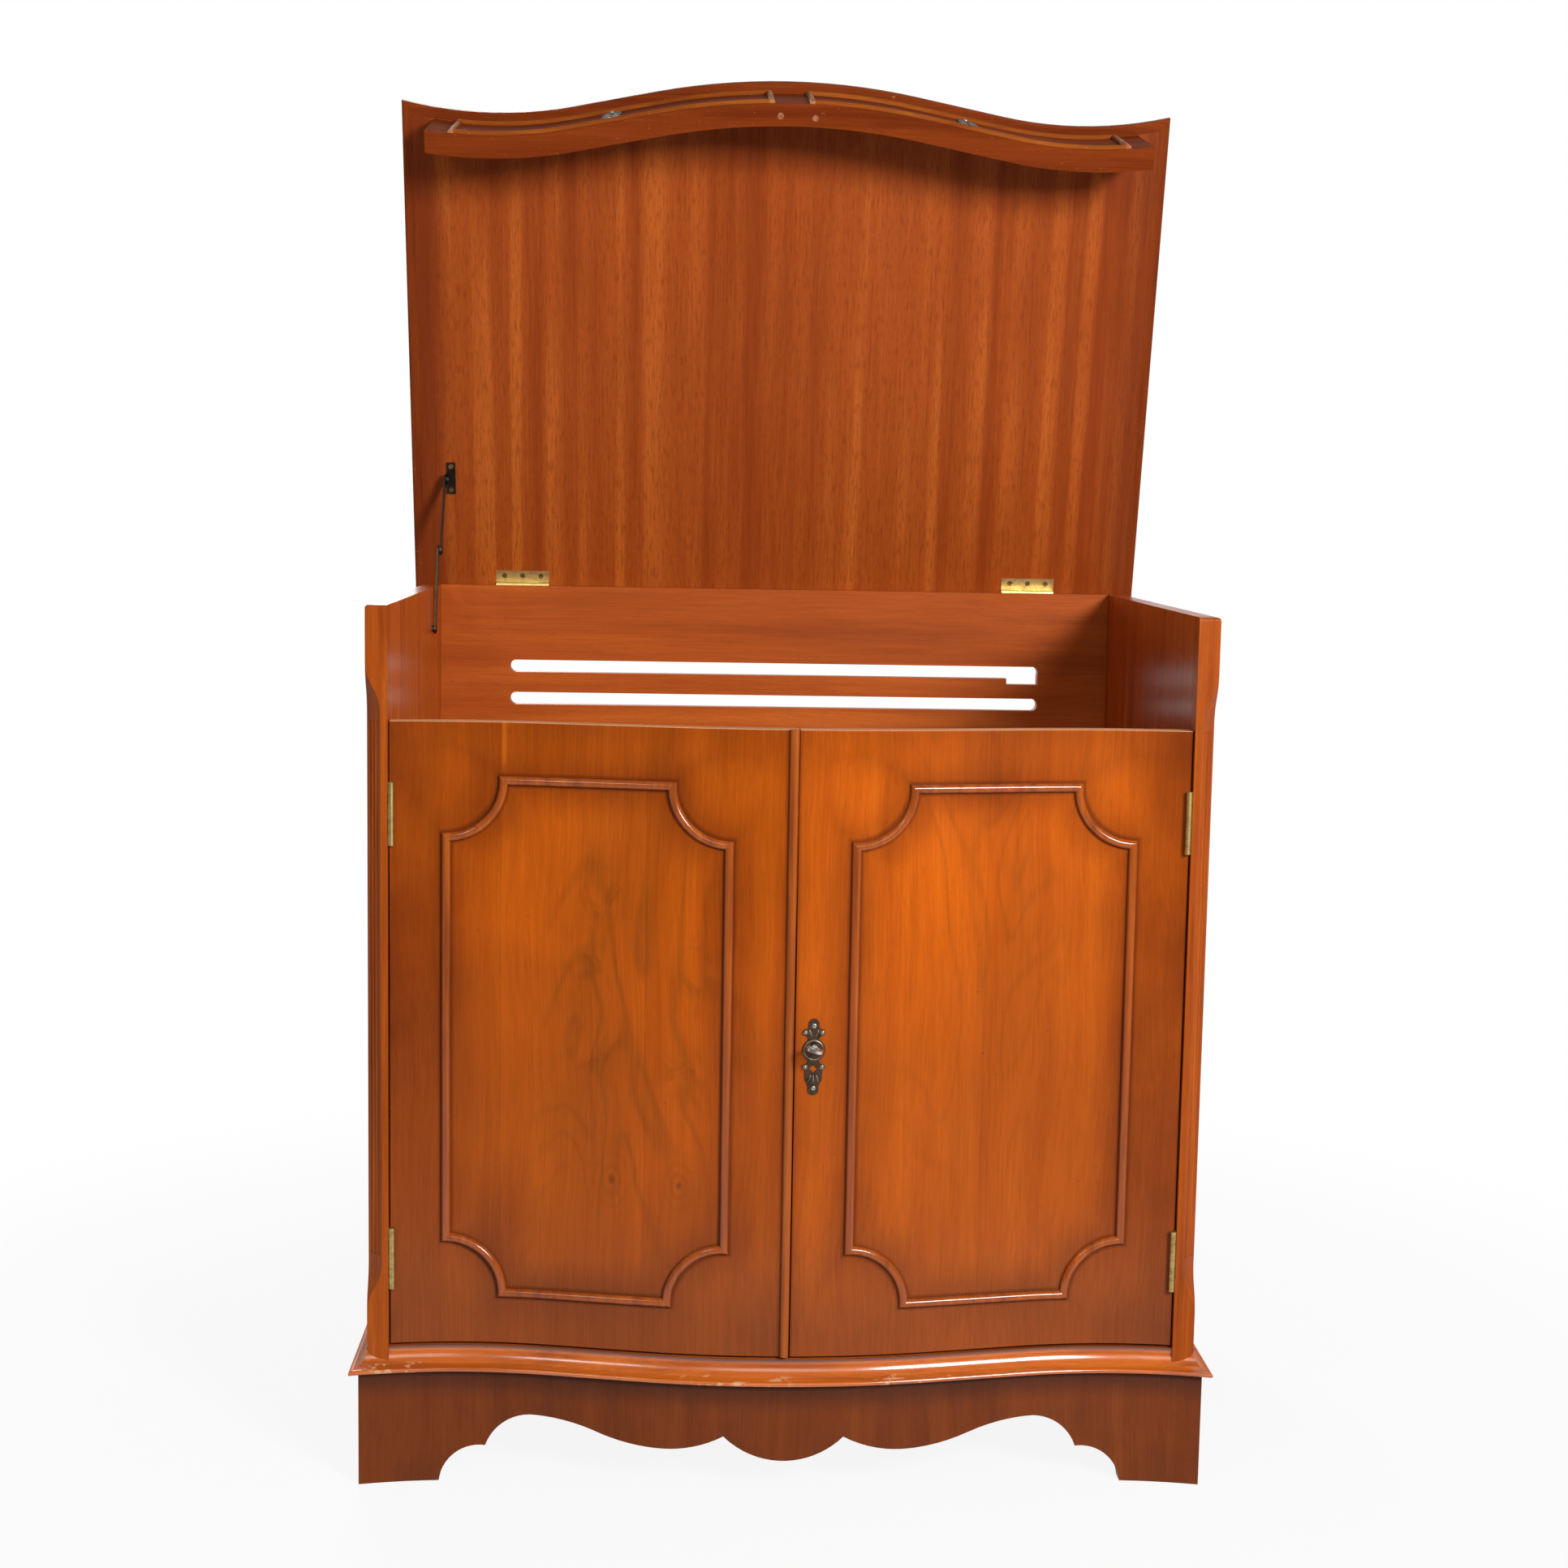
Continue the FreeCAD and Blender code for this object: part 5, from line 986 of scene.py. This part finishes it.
# %% Relief of the keyhole plates
OUTWARD = Vector((0.0, 0.0, 1.0))
FULL_TURN = 2 * math.pi
MEDALLION_RISE = 0.007
BEAD_REACH = 0.0098
BEAD_RADIUS = 0.0008
BEAD_SIDES = 10
BEAD_STEPS = 40
EYE_OUTLINE = ((0.0026, 0.0), (0.0025, 0.0006), (0.0019, 0.0009), (0.0014, 0.0006), (0.0008, 0.0012),
               (0.0, 0.0014))
EYE_PLACES = ((-0.0086, 0.025), (0.0086, 0.025), (-0.0086, -0.0105), (0.0086, -0.0105))
EYE_STEPS = 18
RIB_SIZE = (0.0009, 0.0042, 0.0008)
RIBS = ((0.0033, 0.0243, -24.0), (-0.0033, 0.0243, 24.0), (0.0042, -0.0225, 20.0), (0.0, -0.0225, 0.0),
        (-0.0042, -0.0225, -20.0))
RIB_SEGMENTS = 12
RIB_RINGS = 8
RELIEF_SINK = 0.0002
PLATES = (("escutcheon_relief", "escutcheon", 1, "door_right"),
          ("drawer_relief_left", "drawer_escutcheons", -1, "lid"),
          ("drawer_relief_right", "drawer_escutcheons", 1, "lid"))


def spun(bm, outline, centre, steps):
    """An open outline of radius and height turned about the outward axis through a centre."""
    verts = [bm.verts.new((centre[0] + radius, centre[1], height)) for radius, height in outline]
    edges = [bm.edges.new(pair) for pair in zip(verts, verts[1:])]
    bmesh.ops.spin(bm, geom=verts + edges, cent=(*centre, 0.0), axis=OUTWARD, angle=FULL_TURN,
                   steps=steps, use_merge=True)


def plate_relief(name, plate, side, body):
    """The raised work on one keyhole plate."""
    bm = bmesh.new()
    stand = Matrix.Translation((BEAD_REACH, MEDALLION_RISE, 0.0)) @ Matrix.Rotation(math.pi / 2, 4, "X")
    round_bead = bmesh.ops.create_circle(bm, segments=BEAD_SIDES, radius=BEAD_RADIUS,
                                         matrix=stand)["verts"]
    rim = list(dict.fromkeys(edge for vert in round_bead for edge in vert.link_edges))
    bmesh.ops.spin(bm, geom=round_bead + rim, cent=(0.0, MEDALLION_RISE, 0.0), axis=OUTWARD,
                   angle=FULL_TURN, steps=BEAD_STEPS, use_merge=True)
    for place in EYE_PLACES:
        spun(bm, EYE_OUTLINE, place, EYE_STEPS)
    for x, y, turn in RIBS:
        drawn = Matrix.Translation((x, y, 0.0)) @ Matrix.Rotation(math.radians(turn), 4, "Z")
        drawn = drawn @ Matrix.Diagonal((*RIB_SIZE, 1.0))
        bmesh.ops.create_uvsphere(bm, u_segments=RIB_SEGMENTS, v_segments=RIB_RINGS, radius=1.0,
                                  matrix=drawn)
    face = plate_face(plate, side) @ Matrix.Translation((0.0, 0.0, -RELIEF_SINK))
    return new_piece(name, bm, face, rubbed_bronze, body)


for name, plate, side, body in PLATES:
    made = plate_relief(name, plate, side, body)
    print(name, len(made.data.polygons), "faces")

# %% [markdown]
# The drawer rail was pinned through its lower edge and the holes were stopped with filler, which
# has shrunk to small pale dishes. They are placed where the picture shows them: a ray from the
# camera finds the point and the slope of the rail there, and a dish is set on that slope.

# %% Filled nail holes
PICTURE = 1932.0
NAIL_PIXELS = ((962.0, 143.0), (1005.0, 146.0))
DISH_OUTLINE = ((0.0038, -0.0002), (0.0035, 0.00025), (0.003, 0.0002), (0.0024, 0.00005), (0.0, 0.0))
DISH_STEPS = 24
FILLER_GLOSS = 0.6
FILLER_POLISH = 0.2
FILLER_DARK = (0.2, 0.04, 0.01)
FILLER_PALE = (0.4, 0.15, 0.07)
CRUMBS = (700.0, 0.35, 0.65, 3.0, 0.6)


def where_seen(name, pixel):
    """The point of a node that a pixel of the picture shows, with the way it faces as third axis."""
    focal = CAMERA_LENS / camera.data.sensor_width * PICTURE
    ray = focal * ahead + (pixel[0] - PICTURE / 2) * right - (pixel[1] - PICTURE / 2) * up
    point, normal = nodes[name].ray_cast(CAMERA_PLACE, ray.normalized())[1:3]
    return Matrix.Translation(point) @ OUTWARD.rotation_difference(normal).to_matrix().to_4x4()


filler, tree, shader, where = start_finish("stopping wax", FILLER_GLOSS, FILLER_POLISH)
crumbs = speckle(tree, where, *CRUMBS)
put(tree, mixed(tree, crumbs, opaque(FILLER_DARK), opaque(FILLER_PALE)), shader.inputs["Base Color"])
for count, pixel in enumerate(NAIL_PIXELS, 1):
    bm = bmesh.new()
    spun(bm, DISH_OUTLINE, (0.0, 0.0), DISH_STEPS)
    place = where_seen("fascia_rail", pixel)
    made = new_piece("nail_dish_%d" % count, bm, place, filler, "lid")
    print(made.name, "at", [round(part, 4) for part in made.data.vertices[0].co])

# %% [markdown]
# Four soft lamps light the cabinet as a photographer would. A large one stands to the right above
# the camera, a weak one to the left, a wide one over the camera, and one behind for the back.

# %% Lamps
AIM = Vector((0.0, 0.0, 0.7))
# Name, place, size and watts
LAMPS = (("key lamp", (1.5, -2.6, 1.85), 0.8, 106.0), ("fill lamp", (-1.4, -2.4, 2.0), 0.5, 11.0),
         ("front strip", (0.0, -2.9, 1.9), 1.2, 12.0), ("back lamp", (-0.9, 2.7, 2.0), 1.0, 55.0))
for name, place, size, watts in LAMPS:
    light = bpy.data.lights.new(name, "AREA")
    light.size = size
    light.energy = watts
    lamp = bpy.data.objects.new(name, light)
    lamp.location = place
    lamp.rotation_euler = (AIM - Vector(place)).to_track_quat("-Z", "Y").to_euler()
    bpy.context.scene.collection.objects.link(lamp)
print(len(LAMPS), "lamps")

# %% [markdown]
# The world is a white backdrop. A Light Path node tells what kind of ray asks: the camera sees
# plain white, lacquer and metal mirror white behind and a dim room in front, and the light that the
# world sheds on the cabinet is weaker, so that the lamps give the shape.

# %% World
WHITE = (1.0, 1.0, 1.0, 1.0)
AMBIENT = 0.16
ROOM = 0.15
ROOM_EDGE = (-0.2, 0.15)


def kinds_of_ray(tree):
    """The outputs of a Light Path node, and a mask of the rays that see the studio directly."""
    rays = node(tree, "ShaderNodeLightPath").outputs
    return rays, maths(tree, "MAXIMUM", rays["Is Camera Ray"], rays["Is Transmission Ray"])


world = bpy.data.worlds.new("studio")
world.use_nodes = True
bpy.context.scene.world = world
tree = world.node_tree
rays, seen = kinds_of_ray(tree)
towards = apart(tree, node(tree, "ShaderNodeTexCoord").outputs["Generated"])["Y"]
mirrored = times(tree, rays["Is Glossy Ray"], ramp(tree, towards, *ROOM_EDGE, ROOM, 1.0))
shed = times(tree, rays["Is Diffuse Ray"], AMBIENT)
strength = maths(tree, "ADD", maths(tree, "ADD", seen, mirrored), shed)
put(tree, WHITE, tree.nodes["Background"].inputs["Color"])
put(tree, strength, tree.nodes["Background"].inputs["Strength"])
print("world", world.name, "sheds", AMBIENT)

# %% [markdown]
# The floor is pale paper. Close to the cabinet the camera sees a little of the paper itself, which
# keeps the shadow, and further out it turns to the plain white of the backdrop. In what the lacquer
# mirrors, the paper ends a little way in front of the cabinet, as in a real studio.

# %% Floor
FLOOR_REACH = 14.0
PAPER_GREY = (0.6, 0.6, 0.6, 1.0)
PAPER_ROUGHNESS = 0.9
WHITE_SHARE = (0.6, 1.6, 0.9, 1.0)
PAPER_END = (-2.4, -1.0)
bm = bmesh.new()
bmesh.ops.create_grid(bm, x_segments=1, y_segments=1, size=FLOOR_REACH)
mesh = bpy.data.meshes.new("floor")
bm.to_mesh(mesh)
bm.free()
floor = bpy.data.objects.new("floor", mesh)
bpy.context.scene.collection.objects.link(floor)
paper, tree, shader, where = start_finish("floor paper", PAPER_ROUGHNESS)
shader.inputs["Base Color"].default_value = PAPER_GREY
rays, seen = kinds_of_ray(tree)
far = ramp(tree, vectors(tree, "LENGTH", where), *WHITE_SHARE)
front = ramp(tree, apart(tree, where)["Y"], *PAPER_END, ROOM, 1.0)
bright = maths(tree, "ADD", seen, times(tree, rays["Is Glossy Ray"], front))
glow = node(tree, "ShaderNodeEmission", {"Color": WHITE, "Strength": bright})
share = maths(tree, "ADD", times(tree, seen, far), rays["Is Glossy Ray"])
blend = node(tree, "ShaderNodeMixShader", {"Fac": share})
put(tree, shader.outputs[0], blend.inputs[1])
put(tree, glow.outputs[0], blend.inputs[2])
put(tree, blend.outputs[0], tree.nodes["Material Output"].inputs["Surface"])
mesh.materials.append(paper)
bpy.context.scene.view_settings.view_transform = "Standard"
print("floor", 2 * FLOOR_REACH, "m wide")
